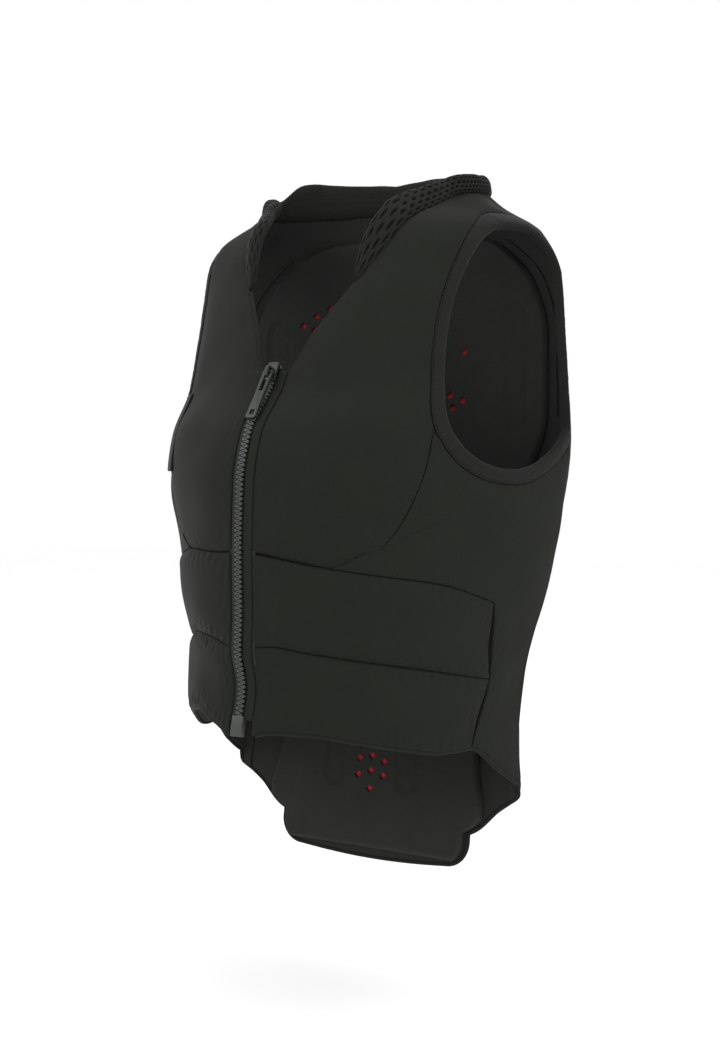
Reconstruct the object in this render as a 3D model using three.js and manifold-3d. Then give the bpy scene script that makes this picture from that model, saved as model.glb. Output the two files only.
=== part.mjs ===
// Riding body protector: a zip-front vest with a padded collar, quilted waist
// bands and a pierced back pad that runs down into a tail.
// Millimetres, +X to the wearer's left, -Y to the front, +Z up. The origin lies
// between the shoulders, at the level where the collar is sewn on.
// A place on the vest is a turn and a height: the turn runs in degrees from the
// front middle, over the wearer's left side (90), to the back middle (180).

import * as THREE from 'three';
import { mergeVertices } from 'three/addons/utils/BufferGeometryUtils.js';
import Module from 'manifold-3d';

const wasm = await Module();
wasm.setup();

// Main sizes
const halfChest = 186;
const frontReach = 190;
const backReach = 42;
const bodyHeight = 440;
const tailDrop = 125;
const tailHalf = 97;
const tailCorner = 20;
const tailSag = 4;

// Cloth and padding
const panelWall = 4;
const shellWall = 3;
const seamGap = 1;
const backSeamInset = 1.6;
const bandRise = 5.5;
const bandFill = 8;
const chestRise = 2.5;
const seamSink = 1;
const padWall = 12;
const padEdge = 6;
const redWall = 1;
const liningWall = 1.4;
const layerGap = 0.4;
const padGap = 1;

// Neckline, seams and armhole
const neckDepth = 150;
const shoulderSeamTurn = 106;
const tongueTurn = 25;
const padSideTurn = 72;
const padSideBow = 4.5;
const backSeamTurn = 120;
const armholeTurn = 72.2;
const armholeDrop = 130;
const armholeHalfTurn = 28.9;
const armholeReach = 110;
const shoulderSeamAngle = 49;
const chestSeamAngle = 214;
const backSeamAngle = 337;
const bindingWidth = 11;
const bindingWall = 7;
const bindingProud = 1.2;
const bindingRound = 2;
const fitGap = 0.4;
const panelEase = 2.4;

// Collar and piping
const collarTurn = 18;
const collarHeight = 27;
const collarWall = 11;
const collarLean = 0.5;
const pipingRadius = 1.3;

// Zip
const tapeLeft = 13.5;
const tapeRight = 8.5;
const tapeWall = 0.8;
const toothPitch = 3.8;
const toothReach = 1.5;
const toothEase = 0.25;
const chainHalf = 3.4;
const chainWall = 2.8;
const zipOverhang = 3;
const sliderWidth = 10;
const sliderLength = 14;
const sliderBack = 5;
const sliderPlate = 1.6;
const sliderNose = 1.5;
const bridgeWidth = 3;
const bridgeRise = 5.6;
const bridgeWall = 1.6;
const bridgeSlope = 1.2;
const pullerLength = 46;
const pullerWidth = 10;
const pullerWaist = 0.86;
const pullerCorner = 1.4;
const pullerWall = 2;
const pullerBar = 2;
const pullerGap = 0.8;
const slotWidth = 4.2;
const slotLength = 19;
const windowSize = 4.4;
const windowFoot = 3.4;
const boxLength = 16;
const boxHalf = 5.5;
const boxRise = 0.6;
const boxStop = 3;
const stopSize = 3;
const stopWall = 1.4;

// Back pad
const padTop = 22;
const padInset = 3;
const diamondSide = 5;
const channelWidth = 22;
const channelLength = 76;
const channelDepth = 0.7;
const channelInset = 38;
const channelFoot = 510;
const shoulderChannelWidth = 24;
const shoulderChannelLength = 109;
const shoulderChannelInset = 112;
const shoulderChannelFoot = 200;

// Side tab
const tabTurn = 40;
const tabDrop = 164;
const tabLength = 66;
const tabWidth = 24;
const tabWall = 3;

// drop, share of bodyHeight | half, share of halfChest | front, share of frontReach |
// back and widest place, shares of backReach | roundness of the front and of the back
const sections = [
  [-0.07, 0.534, 0.232, 0.776, -0.143, 2.1, 2.0],
  [0.0, 0.619, 0.216, 0.869, -0.143, 2.2, 2.0],
  [0.023, 0.670, 0.301, 0.931, -0.048, 2.35, 2.1],
  [0.077, 0.855, 0.454, 1.012, 0.143, 2.4, 2.2],
  [0.159, 0.946, 0.577, 1.076, 0.143, 2.1, 2.3],
  [0.273, 0.965, 0.702, 1.05, 0.143, 1.94, 2.4],
  [0.364, 0.981, 0.786, 0.952, 0.143, 1.88, 2.6],
  [0.455, 1.001, 0.939, 0.857, 0.119, 1.82, 2.7],
  [0.545, 0.984, 0.991, 0.762, 0.095, 1.82, 2.8],
  [0.682, 0.93, 1.003, 0.662, 0.05, 1.74, 2.8],
  [0.773, 0.878, 0.999, 0.614, 0.0, 1.75, 2.8],
  [0.841, 0.833, 1.006, 0.55, -0.05, 1.68, 2.8],
  [0.909, 0.798, 0.978, 0.48, -0.095, 1.8, 2.8],
  [1.0, 0.777, 1.016, 0.42, -0.12, 1.84, 2.8],
  [1.136, 0.802, 0.976, 0.131, -0.19, 1.84, 2.8],
  [1.41, 0.763, 0.946, -0.289, -0.575, 1.8, 2.8],
];

// turn | drop, share of neckDepth
const neckline = [
  [0, 1.0], [4.2, 1.0], [9.5, 0.799], [17, 0.555], [23, 0.363], [30.2, 0.177],
  [42, 0.088], [58, 0.01], [90, 0], [180, 0],
];

// turn | drop, share of bodyHeight
const waistSeam = [[0, 0.666], [10, 0.677], [20, 0.69], [36, 0.706], [55, 0.725], [74, 0.766], [90, 0.8]];
const bandSeam = [[0, 0.843], [10, 0.834], [20, 0.844], [36, 0.86], [55, 0.879], [74, 0.902], [90, 0.92]];
const hemline = [
  [0, 1.001], [12, 0.984], [24, 0.987], [38, 1.002], [52, 1.019], [62, 1.029], [72, 1.027],
  [82, 1.075], [92, 1.114], [101.6, 1.128], [120, 1.147], [130, 1.168], [141, 1.214], [160, 1.255],
];

// share of the way down the chest seam | turn past the tongue, share of the whole
const chestSeam = [[0, 1], [0.25, 0.985], [0.5, 0.89], [0.75, 0.71], [0.9, 0.48], [0.97, 0.19], [1, 0]];

// turn | height, share of collarHeight
const collarCrest = [
  [18, 0.56], [30, 0.65], [50, 0.63], [75, 0.63], [100, 0.82], [130, 1.19], [155, 1.04], [180, 0.89],
];

// drop, share of bodyHeight | half width, share of halfChest
const padOutline = [
  [0.05, 0.36], [0.062, 0.48], [0.086, 0.60], [0.16, 0.77], [0.26, 0.85], [0.42, 0.85],
  [0.51, 0.79], [0.6, 0.70], [0.7, 0.645], [0.9, 0.585], [1.06, 0.555], [1.17, 0.6],
];

// The places of the pad's diamond holes: side, share of halfChest | drop, share of bodyHeight
const diamonds = [
  [-0.473, 0.216], [-0.398, 0.198], [-0.317, 0.184], [-0.409, 0.227],
  [0.446, 0.291], [0.31, 0.273], [0.23, 0.259], [0.3, 0.302],
  [0.382, 0.373], [0.452, 0.384], [0.398, 0.398], [-0.382, 0.373], [-0.452, 0.384], [-0.398, 0.398],
  [-0.07, 1.07], [0.07, 1.07], [0, 1.091], [-0.07, 1.098], [0.07, 1.1], [0, 1.12],
  [-0.07, 1.13], [0.07, 1.127], [0, 1.155], [-0.07, 1.04], [0, 1.057], [0.07, 1.04],
];

const degree = Math.PI / 180;
const halvings = 24;
const footCrowding = 1.15;
const mix = (a, b, t) => a + (b - a) * t;
const clamp = (value) => Math.min(1, Math.max(0, value));
const up = new THREE.Vector3(0, 0, 1);
const across = new THREE.Vector3(1, 0, 0);

// A smooth curve through the rows of a table that doesn't overshoot them
function follow(rows, at, column = 1) {
  const last = rows.length - 1;
  if (at <= rows[0][0]) return rows[0][column];
  if (at >= rows[last][0]) return rows[last][column];
  const steep = (k) => (rows[k + 1][column] - rows[k][column]) / (rows[k + 1][0] - rows[k][0]);
  const slope = (k) => {
    if (k === 0) return steep(0);
    if (k === last) return steep(last - 1);
    const before = steep(k - 1);
    const after = steep(k);
    return before * after <= 0 ? 0 : (2 * before * after) / (before + after);
  };
  let row = 0;
  while (at > rows[row + 1][0]) row += 1;
  const span = rows[row + 1][0] - rows[row][0];
  const t = (at - rows[row][0]) / span;
  const rest = 1 - t;
  return rows[row][column] * rest * rest * (1 + 2 * t)
    + rows[row + 1][column] * t * t * (3 - 2 * t)
    + slope(row) * span * t * rest * rest
    - slope(row + 1) * span * t * t * rest;
}

// A point of the vest's outer surface
function skin(turn, height) {
  const drop = -height / bodyHeight;
  const sine = Math.sin(turn * degree);
  const cosine = Math.cos(turn * degree);
  const ahead = cosine >= 0;
  const middle = follow(sections, drop, 4) * backReach;
  const front = follow(sections, drop, 2) * frontReach;
  const behind = follow(sections, drop, 3) * backReach;
  const power = follow(sections, drop, ahead ? 5 : 6);
  const round = (Math.abs(sine) ** power + Math.abs(cosine) ** power) ** (-1 / power);
  const depth = ahead ? front + middle : behind - middle;
  return new THREE.Vector3(
    follow(sections, drop, 1) * halfChest * sine * round,
    middle - depth * cosine * round,
    height,
  );
}

// The surface's direction outward
function outward(turn, height) {
  const turnStep = 1;
  const heightStep = 2;
  const round = skin(turn + turnStep, height).sub(skin(turn - turnStep, height));
  const rise = skin(turn, height + heightStep).sub(skin(turn, height - heightStep));
  return round.cross(rise).normalize();
}

// A point that lies some way above the surface, or below it
function place(turn, height, lift = 0) {
  return skin(turn, height).addScaledVector(outward(turn, height), lift);
}

// The turn at which the surface lies a given way from the middle plane
function turnAt(reach, height, behind = false) {
  const found = (swing) => (behind ? 180 - swing : swing);
  let [low, high] = [0, 90];
  for (let step = 0; step < halvings; step += 1) {
    const half = (low + high) / 2;
    if (skin(found(half), height).x < reach) low = half;
    else high = half;
  }
  return found(low);
}

const neckHeight = (turn) => -neckDepth * follow(neckline, turn > 180 ? 360 - turn : turn);
const hemHeight = (turn) => -bodyHeight * follow(hemline, turn);
const seamOne = (turn) => -bodyHeight * follow(waistSeam, turn);
const seamTwo = (turn) => -bodyHeight * follow(bandSeam, turn);
const padSide = (way) => padSideTurn + padSideBow * Math.sin(Math.PI * way);

// The armhole's edge, at an angle that runs from its back over its top
function armholeAt(angle, grow = 0) {
  const degreeRun = halfChest * degree;
  const sine = Math.sin(angle * degree);
  const cosine = Math.cos(angle * degree);
  const power = cosine >= 0 ? (sine >= 0 ? 2.6 : 1.75) : (sine >= 0 ? 3 : 2.25);
  const swing = Math.sign(cosine) * Math.abs(cosine) ** (2 / power);
  const climb = Math.sign(sine) * Math.abs(sine) ** (2 / power);
  return [
    armholeTurn + (armholeHalfTurn + grow / degreeRun) * swing,
    -armholeDrop + (armholeReach + grow) * climb,
  ];
}

// The curved seam from the armhole down to the tongue of the side panel
function chestSeamAt(way) {
  const [topTurn, topHeight] = armholeAt(chestSeamAngle, panelEase);
  return [
    mix(tongueTurn, topTurn, follow(chestSeam, way)),
    mix(topHeight, seamOne(tongueTurn), way),
  ];
}

// The seam between side and back, from the armhole to the hem
function backSeamAt(way) {
  const [topTurn, topHeight] = armholeAt(backSeamAngle, panelEase);
  const curl = 3.5;
  return [
    mix(topTurn, backSeamTurn, 1 - (1 - way) ** curl),
    mix(topHeight, hemHeight(backSeamTurn), way),
  ];
}

const tailTip = bodyHeight + tailDrop;
const tailTurn = turnAt(tailHalf, tailCorner * 2 - tailTip, true);

// The tail's side and round corner
function tailSideAt(way) {
  const height = mix(hemHeight(tailTurn), tailCorner - tailTip, way);
  return [turnAt(tailHalf, height, true), height];
}
function tailCornerAt(way) {
  const angle = way * 90 * degree;
  const height = tailCorner - tailTip - tailCorner * Math.sin(angle);
  return [turnAt(tailHalf - tailCorner * (1 - Math.cos(angle)), height, true), height];
}

// A row of places, from pieces that each give a number of steps and a curve
function rail(...pieces) {
  const places = [pieces[0][1](0)];
  for (const [steps, curve] of pieces) {
    for (let step = 1; step <= steps; step += 1) places.push(curve(step / steps));
  }
  return places;
}

const mirrored = (places) => places.map(([turn, height]) => [360 - turn, height]);

function between(a, b, t) {
  return [mix(a[0], b[0], t), mix(a[1], b[1], t)];
}

// The way from one place to another, in millimetres along the cloth
function wayBetween(a, b) {
  return skin(...a).distanceTo(skin(...b));
}

// The sine of the angle between a rail and the line from it to another place
function slant(places, row, target) {
  const flat = ([turn, height]) => new THREE.Vector2(turn * halfChest * degree, height);
  const along = flat(places[Math.min(row + 1, places.length - 1)]).sub(flat(places[Math.max(row - 1, 0)]));
  const over = flat(target).sub(flat(places[row]));
  return Math.max(0.35, Math.abs(along.cross(over)) / (along.length() * over.length()));
}

// A net of places between two rails, drawn in all round by half a seam's gap
function netBetween(first, second, columns, shift = () => 0, inset = seamGap / 2) {
  const net = first.map((a, row) => {
    const b = second[row];
    const start = inset / (wayBetween(a, b) * slant(first, row, b));
    const end = inset / (wayBetween(a, b) * slant(second, row, a));
    return Array.from({ length: columns + 1 }, (_, column) => {
      const t = mix(start, 1 - end, column / columns);
      const [turn, height] = between(a, b, t);
      return [turn, height + shift(t, row / (first.length - 1))];
    });
  });
  const last = net.length - 1;
  for (const [row, next] of [[0, 1], [last, last - 1]]) {
    net[row] = net[row].map((p, k) => between(p, net[next][k], inset / wayBetween(p, net[next][k])));
  }
  return net;
}

// A closed mesh from a list of points and faces, turned so that it faces out
function closedMesh(points, faces) {
  let volume = 0;
  for (const [a, b, c] of faces) {
    volume += points[a].dot(new THREE.Vector3().crossVectors(points[b], points[c]));
  }
  const geometry = new THREE.BufferGeometry();
  geometry.setAttribute('position', new THREE.Float32BufferAttribute(points.flatMap((p) => p.toArray()), 3));
  geometry.setIndex((volume < 0 ? faces.map(([a, b, c]) => [a, c, b]) : faces).flat());
  return geometry;
}

// A slab over a net of places, between an upper and a lower lift
function slab(net, upper, lower) {
  const rows = net.length;
  const columns = net[0].length;
  const points = [];
  for (const lift of [upper, lower]) {
    net.forEach((line, row) => line.forEach(([turn, height], column) => {
      points.push(place(turn, height, lift(column / (columns - 1), row / (rows - 1))));
    }));
  }
  const at = (layer, row, column) => (layer * rows + row) * columns + column;
  const faces = [];
  const quad = (a, b, c, d) => faces.push([a, b, c], [a, c, d]);
  for (let row = 0; row < rows - 1; row += 1) {
    for (let column = 0; column < columns - 1; column += 1) {
      quad(at(0, row, column), at(0, row, column + 1), at(0, row + 1, column + 1), at(0, row + 1, column));
      quad(at(1, row, column), at(1, row + 1, column), at(1, row + 1, column + 1), at(1, row, column + 1));
    }
    quad(at(0, row, 0), at(0, row + 1, 0), at(1, row + 1, 0), at(1, row, 0));
    const edge = columns - 1;
    quad(at(0, row + 1, edge), at(0, row, edge), at(1, row, edge), at(1, row + 1, edge));
  }
  for (let column = 0; column < columns - 1; column += 1) {
    quad(at(0, 0, column + 1), at(0, 0, column), at(1, 0, column), at(1, 0, column + 1));
    const foot = rows - 1;
    quad(at(0, foot, column), at(0, foot, column + 1), at(1, foot, column + 1), at(1, foot, column));
  }
  return closedMesh(points, faces);
}

// A solid through rings of points, closed on itself or capped at both ends
function loft(rings, joined = false) {
  const sides = rings[0].length;
  const points = rings.flat();
  const faces = [];
  const spans = joined ? rings.length : rings.length - 1;
  for (let ring = 0; ring < spans; ring += 1) {
    const next = (ring + 1) % rings.length;
    for (let side = 0; side < sides; side += 1) {
      const beside = (side + 1) % sides;
      const [a, b] = [ring * sides + side, ring * sides + beside];
      const [c, d] = [next * sides + beside, next * sides + side];
      faces.push([a, b, c], [a, c, d]);
    }
  }
  if (!joined) {
    const last = (rings.length - 1) * sides;
    for (let side = 1; side < sides - 1; side += 1) {
      faces.push([0, side + 1, side], [last, last + side, last + side + 1]);
    }
  }
  return closedMesh(points, faces);
}

// Cloth between two rails that swells from its seams
function panel(first, second, columns, rise, fill, wall, shift) {
  const swell = (u, v) => (1 - Math.abs(2 * u - 1) ** 4) * (1 - Math.abs(2 * v - 1) ** 4);
  return slab(
    netBetween(first, second, columns, shift),
    (u, v) => rise * swell(u, v) - seamSink,
    (u, v) => -wall - seamSink * 0.5 - fill * swell(u, v),
  );
}

// The front edge of a panel beside the zip
const zipEdge = (tape, from, to) => (way) => {
  const height = mix(from, to, way);
  return [turnAt(tape, height), height];
};

// The neckline from one turn to another
const neckEdge = (from, to) => (way) => {
  const turn = mix(from, to, way);
  return [turn, neckHeight(turn)];
};

function chestPanel(tape) {
  const start = turnAt(tape, -neckDepth);
  const inner = rail(
    [6, zipEdge(tape, seamOne(0), -neckDepth)],
    [4, neckEdge(start, collarTurn)],
    [7, (way) => neckEdge(collarTurn, shoulderSeamTurn)(way ** 1.3)],
  );
  const outer = rail(
    [5, (way) => chestSeamAt(1 - way)],
    [12, (way) => armholeAt(mix(chestSeamAngle, shoulderSeamAngle, way), panelEase)],
  );
  return panel(inner, outer, 8, chestRise, 0, panelWall);
}

function band(tape, upper, lower, fromWay, toWay) {
  const line = (edge, way) => (t) => {
    const turn = mix(turnAt(tape, edge(0)), padSide(way), t);
    return [turn, edge(turn)];
  };
  const [top, bottom] = [rail([12, line(upper, fromWay)]), rail([12, line(lower, toWay)])];
  return panel(top, bottom, 5, bandRise, bandFill, panelWall);
}

function sidePanel() {
  const bottomTurn = padSide(1);
  const fromArmhole = 0.04;
  const lowAngle = 270;
  const backAngle = 306;
  const arc = (from, to) => (way) => armholeAt(mix(from, to, way), panelEase);
  const start = mix(chestSeamAngle, backSeamAngle, fromArmhole);
  const front = rail(
    [6, (way) => chestSeamAt(mix(fromArmhole, 1, way))],
    [7, (way) => {
      const turn = mix(tongueTurn, padSide(0), way);
      return [turn, seamOne(turn)];
    }],
    [14, (way) => {
      const turn = padSide(way);
      return [turn, mix(seamOne(padSideTurn), hemHeight(bottomTurn), way)];
    }],
  );
  const behind = rail(
    [6, arc(start, lowAngle)], [7, arc(lowAngle, backAngle)],
    [4, arc(backAngle, backSeamAngle)], [10, backSeamAt],
  );
  const sag = (t, way) => {
    const turn = mix(bottomTurn, backSeamTurn, t);
    const straight = mix(hemHeight(bottomTurn), hemHeight(backSeamTurn), t);
    return (hemHeight(turn) - straight) * way ** 4;
  };
  return panel(front, behind, 8, 0, 0, panelWall, sag);
}

// How far a row of the tail has come into its round corners
const cornerWay = (height) => clamp((-height - tailTip + tailCorner) / tailCorner);

function backPanel() {
  const left = rail(
    [5, (way) => between([shoulderSeamTurn, 0], armholeAt(shoulderSeamAngle, panelEase), way)],
    [8, (way) => armholeAt(mix(shoulderSeamAngle, backSeamAngle - 360, way), panelEase)],
    [10, backSeamAt],
    [3, (way) => {
      const turn = mix(backSeamTurn, tailTurn, way);
      return [turn, hemHeight(turn)];
    }],
    [1, tailSideAt],
    [3, tailCornerAt],
  );
  const columns = 12;
  const sagged = ([turn, height], column) => {
    const way = column / columns;
    return [turn, height - tailSag * cornerWay(height) * 4 * way * (1 - way)];
  };
  const net = netBetween(left, mirrored(left), columns, () => 0, backSeamInset);
  return slab(net.map((line) => line.map(sagged)), () => 0, () => -shellWall);
}

// A net of places over the back, as wide at each height as an outline says
function backNet(rows, columns, from, to, halfAt) {
  return Array.from({ length: rows + 1 }, (_, row) => {
    const height = mix(-from, -to, 1 - (1 - row / rows) ** footCrowding);
    const side = turnAt(halfAt(height), height, true);
    return Array.from({ length: columns + 1 }, (_, column) => [
      mix(side, 360 - side, column / columns), height,
    ]);
  });
}

function solidOf(geometry) {
  const bare = geometry.clone();
  for (const name of ['normal', 'uv']) bare.deleteAttribute(name);
  const merged = mergeVertices(bare, 1e-4);
  return new wasm.Manifold(new wasm.Mesh({
    numProp: 3,
    vertProperties: new Float32Array(merged.attributes.position.array),
    triVerts: new Uint32Array(merged.index.array),
  }));
}

function geometryOf(solid) {
  const mesh = solid.getMesh();
  const geometry = new THREE.BufferGeometry();
  geometry.setAttribute('position', new THREE.BufferAttribute(new Float32Array(mesh.vertProperties), 3));
  geometry.setIndex(new THREE.BufferAttribute(new Uint32Array(mesh.triVerts), 1));
  return geometry;
}

// A prism that stands along Y across the middle plane, from an outline in X and Z
function standing(shape, depth, x, z) {
  const geometry = new THREE.ExtrudeGeometry(shape, { depth, bevelEnabled: false, curveSegments: 5 });
  geometry.rotateX(90 * degree);
  geometry.translate(x, depth / 2, z);
  return solidOf(geometry);
}

function diamondShape() {
  const reach = diamondSide / Math.SQRT2;
  const shape = new THREE.Shape();
  shape.moveTo(reach, 0);
  shape.lineTo(0, reach);
  shape.lineTo(-reach, 0);
  shape.lineTo(0, -reach);
  return shape;
}

function oblongShape(width, length) {
  const half = width / 2;
  const shape = new THREE.Shape();
  shape.moveTo(half, half);
  shape.lineTo(half, length - half);
  shape.absarc(0, length - half, half, 0, Math.PI, false);
  shape.lineTo(-half, half);
  shape.absarc(0, half, half, Math.PI, 2 * Math.PI, false);
  return shape;
}

// Half the width of the tail at a height, to its outline
function tailReach(height) {
  if (height > hemHeight(backSeamTurn)) return halfChest;
  if (height > hemHeight(tailTurn)) {
    let [low, high] = [backSeamTurn, tailTurn];
    for (let step = 0; step < halvings; step += 1) {
      const half = (low + high) / 2;
      if (hemHeight(half) > height) low = half;
      else high = half;
    }
    return skin(low, height).x;
  }
  const fall = Math.min(tailCorner, Math.max(0, tailCorner - tailTip - height));
  return tailHalf - tailCorner + Math.sqrt(tailCorner ** 2 - fall ** 2);
}

// The pad's net of places, and the lifts of its layers from the foam to the lining
const padNet = (rows, columns) => backNet(rows, columns, padTop, tailTip - padInset, (height) => Math.min(
  halfChest * follow(padOutline, -height / bodyHeight), tailReach(height) - padInset,
));
const padSwell = (u, v) => (1 - Math.abs(2 * u - 1) ** 3) * (1 - Math.abs(2 * v - 1) ** 8);
const foamTop = -shellWall - padGap;
const liningFace = (u, v) => foamTop - mix(padEdge, padWall, padSwell(u, v));
const liningBack = (u, v) => liningFace(u, v) + liningWall;
const redFace = (u, v) => liningBack(u, v) + layerGap;
const redBack = (u, v) => redFace(u, v) + redWall;

const padRows = 18;
const padColumns = 8;

function backPad() {
  return slab(padNet(padRows, padColumns), () => foamTop, (u, v) => redBack(u, v) + layerGap);
}

function redLayer() {
  return slab(padNet(padRows, padColumns), redBack, redFace);
}

// The lining over the pad, with its diamond holes and its stitched channels
function padLining() {
  const net = padNet(padRows, padColumns);
  const reach = padWall * 5;
  let lining = solidOf(slab(net, liningBack, liningFace));
  const recess = solidOf(slab(
    net, (u, v) => liningFace(u, v) + channelDepth, (u, v) => liningFace(u, v) - padWall,
  ));
  const channels = [
    [channelWidth, channelLength, channelInset, channelFoot],
    [shoulderChannelWidth, shoulderChannelLength, shoulderChannelInset, shoulderChannelFoot],
  ];
  for (const [width, length, inset, foot] of channels) {
    for (const side of [-1, 1]) {
      const oblong = standing(oblongShape(width, length), reach, side * inset, -foot);
      lining = lining.subtract(oblong.intersect(recess));
    }
  }
  for (const [side, drop] of diamonds) {
    lining = lining.subtract(standing(diamondShape(), reach, side * halfChest, -drop * bodyHeight));
  }
  return geometryOf(lining);
}

// The binding round an armhole, from its edge to the panels
function armholeBinding() {
  const steps = 40;
  const rings = Array.from({ length: steps }, (_, step) => {
    const angle = (360 * step) / steps;
    const outline = [
      [-bindingWidth, -bindingWall * 0.25], [-bindingWidth + bindingRound, bindingProud * 0.6],
      [-bindingWidth / 2, bindingProud], [-fitGap, bindingProud * 0.4],
      [-fitGap, -bindingWall * 0.86], [-bindingWidth / 2, -bindingWall],
      [-bindingWidth + bindingRound, -bindingWall * 0.91],
    ];
    return outline.map(([grow, lift]) => place(...armholeAt(angle, grow), lift));
  });
  return loft(rings, true);
}

// The frame along an edge of cloth: the cloth's direction out, and the way past the edge
function edgeFrames(places, lift) {
  const spots = places.map(([turn, height]) => place(turn, height, lift));
  return places.map(([turn, height], k) => {
    const ahead = spots[Math.min(k + 1, spots.length - 1)];
    const behind = spots[Math.max(k - 1, 0)];
    const along = ahead.clone().sub(behind).normalize();
    const out = outward(turn, height);
    return { spot: spots[k], along, out, past: along.clone().cross(out).normalize() };
  });
}

// A round cord that lies against an edge of cloth
function piping(places, side, lift = -panelWall / 2) {
  const sides = 6;
  const stand = pipingRadius + fitGap / 4;
  const rings = edgeFrames(places, lift).map(({ spot, out, past }) => {
    const middle = spot.clone().addScaledVector(past, side * stand);
    return Array.from({ length: sides }, (_, k) => {
      const angle = (2 * Math.PI * k) / sides;
      return middle.clone()
        .addScaledVector(out, pipingRadius * Math.cos(angle))
        .addScaledVector(past, pipingRadius * Math.sin(angle));
    });
  });
  return loft(rings);
}

function neckPiping(tape) {
  const start = turnAt(tape, -neckDepth);
  const ease = (way) => mix(0.25, 0.94, way);
  return piping(rail([8, (way) => neckEdge(start, collarTurn)(ease(way))]), -1);
}

function frontHemPiping(tape) {
  const places = rail([12, (way) => {
    const turn = mix(turnAt(tape + 1, -bodyHeight), padSideTurn - 0.4, way);
    return [turn, hemHeight(turn)];
  }]);
  return piping(places, 1);
}

// The cord round the sides, the back and the tail
function tailPiping() {
  const left = rail(
    [8, (way) => {
      const turn = mix(padSideTurn + 0.4, backSeamTurn, way);
      return [turn, hemHeight(turn)];
    }],
    [5, (way) => {
      const turn = mix(backSeamTurn, tailTurn, way);
      return [turn, hemHeight(turn)];
    }],
    [2, tailSideAt],
    [4, tailCornerAt],
    [4, (way) => {
      const [turn, height] = tailCornerAt(1);
      return [mix(turn, 180, way), height - tailSag * way * (2 - way)];
    }],
  );
  return piping([...left, ...mirrored(left.slice(0, -1)).reverse()], 1, -shellWall / 2);
}

function collar() {
  const steps = 44;
  const places = rail([steps, (way) => {
    const turn = mix(collarTurn, 360 - collarTurn, way);
    return [turn, neckHeight(turn)];
  }]);
  const half = collarWall / 2;
  const outline = [
    [-half, 0.12], [-half, 0.8], [-half * 0.5, 1], [half * 0.5, 1],
    [half, 0.8], [half, 0.12], [half * 0.5, 0], [-half * 0.5, 0],
  ];
  const rings = edgeFrames(places, -panelWall / 2).map(({ spot, along, past }, k) => {
    const rise = past.multiplyScalar(-(1 - collarLean)).addScaledVector(up, collarLean).normalize();
    const out = rise.clone().cross(along).negate().normalize();
    const fromEnd = Math.min(k, steps - k) / 3;
    const size = Math.sqrt(mix(0.25, 1, clamp(fromEnd)));
    const tall = collarHeight * follow(collarCrest, Math.min(places[k][0], 360 - places[k][0])) * size;
    return outline.map(([side, share]) => spot.clone()
      .addScaledVector(out, side * size)
      .addScaledVector(rise, fitGap + seamGap / 2 + tall * share));
  });
  return loft(rings);
}

// The zip's line down the front, stepped by its own length
const zipTop = -neckDepth;
const zipFoot = hemHeight(0) - zipOverhang;
const zipLine = [];
{
  const steps = 80;
  let run = 0;
  for (let step = 0; step <= steps; step += 1) {
    const spot = skin(0, mix(zipTop, zipFoot, step / steps));
    if (step > 0) run += spot.distanceTo(skin(0, mix(zipTop, zipFoot, (step - 1) / steps)));
    zipLine.push([run, spot.z]);
  }
}
const zipRun = zipLine[zipLine.length - 1][0];

// A point on the zip: the way down it, the way to the side and the lift above the cloth
function zipPoint(run, side, lift) {
  const [first, second] = [zipLine[0], zipLine[1]];
  const before = (second[1] - first[1]) / (second[0] - first[0]);
  const after = -1;
  let height = follow(zipLine, run);
  if (run < 0) height = first[1] + run * before;
  if (run > zipRun) height += (run - zipRun) * after;
  return place(0, height, lift).addScaledVector(across, side);
}

const toothCount = Math.floor((zipRun - boxLength - boxStop) / toothPitch);
const chainRun = toothCount * toothPitch;

// One half of the chain: a strip whose inner edge zigzags with the other half's
function zipTeeth(side) {
  const rings = [];
  for (let step = 0; step <= toothCount * 2; step += 1) {
    const run = (step * toothPitch) / 2;
    const swing = step % 2 === 0 ? -toothReach : toothReach;
    const inner = swing + (side * fitGap) / 2 + side * toothEase;
    const outer = side * chainHalf;
    const half = chainWall / 2;
    rings.push([
      zipPoint(run, inner, half), zipPoint(run, outer, half),
      zipPoint(run, outer, -half), zipPoint(run, inner, -half),
    ]);
  }
  return loft(rings);
}

// A plain strip or block along the zip
function zipStrip(steps, from, to, inner, outer, low, high) {
  const rings = [];
  for (let step = 0; step <= steps; step += 1) {
    const run = mix(from, to, step / steps);
    rings.push([
      zipPoint(run, inner, high), zipPoint(run, outer, high),
      zipPoint(run, outer, low), zipPoint(run, inner, low),
    ]);
  }
  return loft(rings);
}

const tapeTop = -chainWall / 2 - fitGap;

function zipTape(side, width) {
  return zipStrip(
    48, -sliderBack, chainRun - fitGap, side * fitGap, side * (width - fitGap),
    tapeTop - tapeWall, tapeTop,
  );
}

// The frame in which the slider and the puller are drawn: Y down the zip, Z out of it
function frameOf(spot, down) {
  const side = across.clone().negate();
  return new THREE.Matrix4().makeBasis(side, down, side.clone().cross(down)).setPosition(spot);
}

function zipFrame(run, lift) {
  const spot = zipPoint(run, 0, lift);
  const down = zipPoint(run + 4, 0, lift).sub(zipPoint(run - 1, 0, lift)).normalize();
  return frameOf(spot, down);
}

function sideProfile(outline, hole, width) {
  const shape = new THREE.Shape(outline.map(([y, z]) => new THREE.Vector2(y, z)));
  if (hole) shape.holes.push(new THREE.Path(hole.map(([y, z]) => new THREE.Vector2(y, z))));
  const geometry = new THREE.ExtrudeGeometry(shape, { depth: width, bevelEnabled: false });
  geometry.translate(0, 0, -width / 2);
  geometry.applyMatrix4(new THREE.Matrix4().makeBasis(new THREE.Vector3(0, 1, 0), up, across));
  return solidOf(geometry);
}

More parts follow.
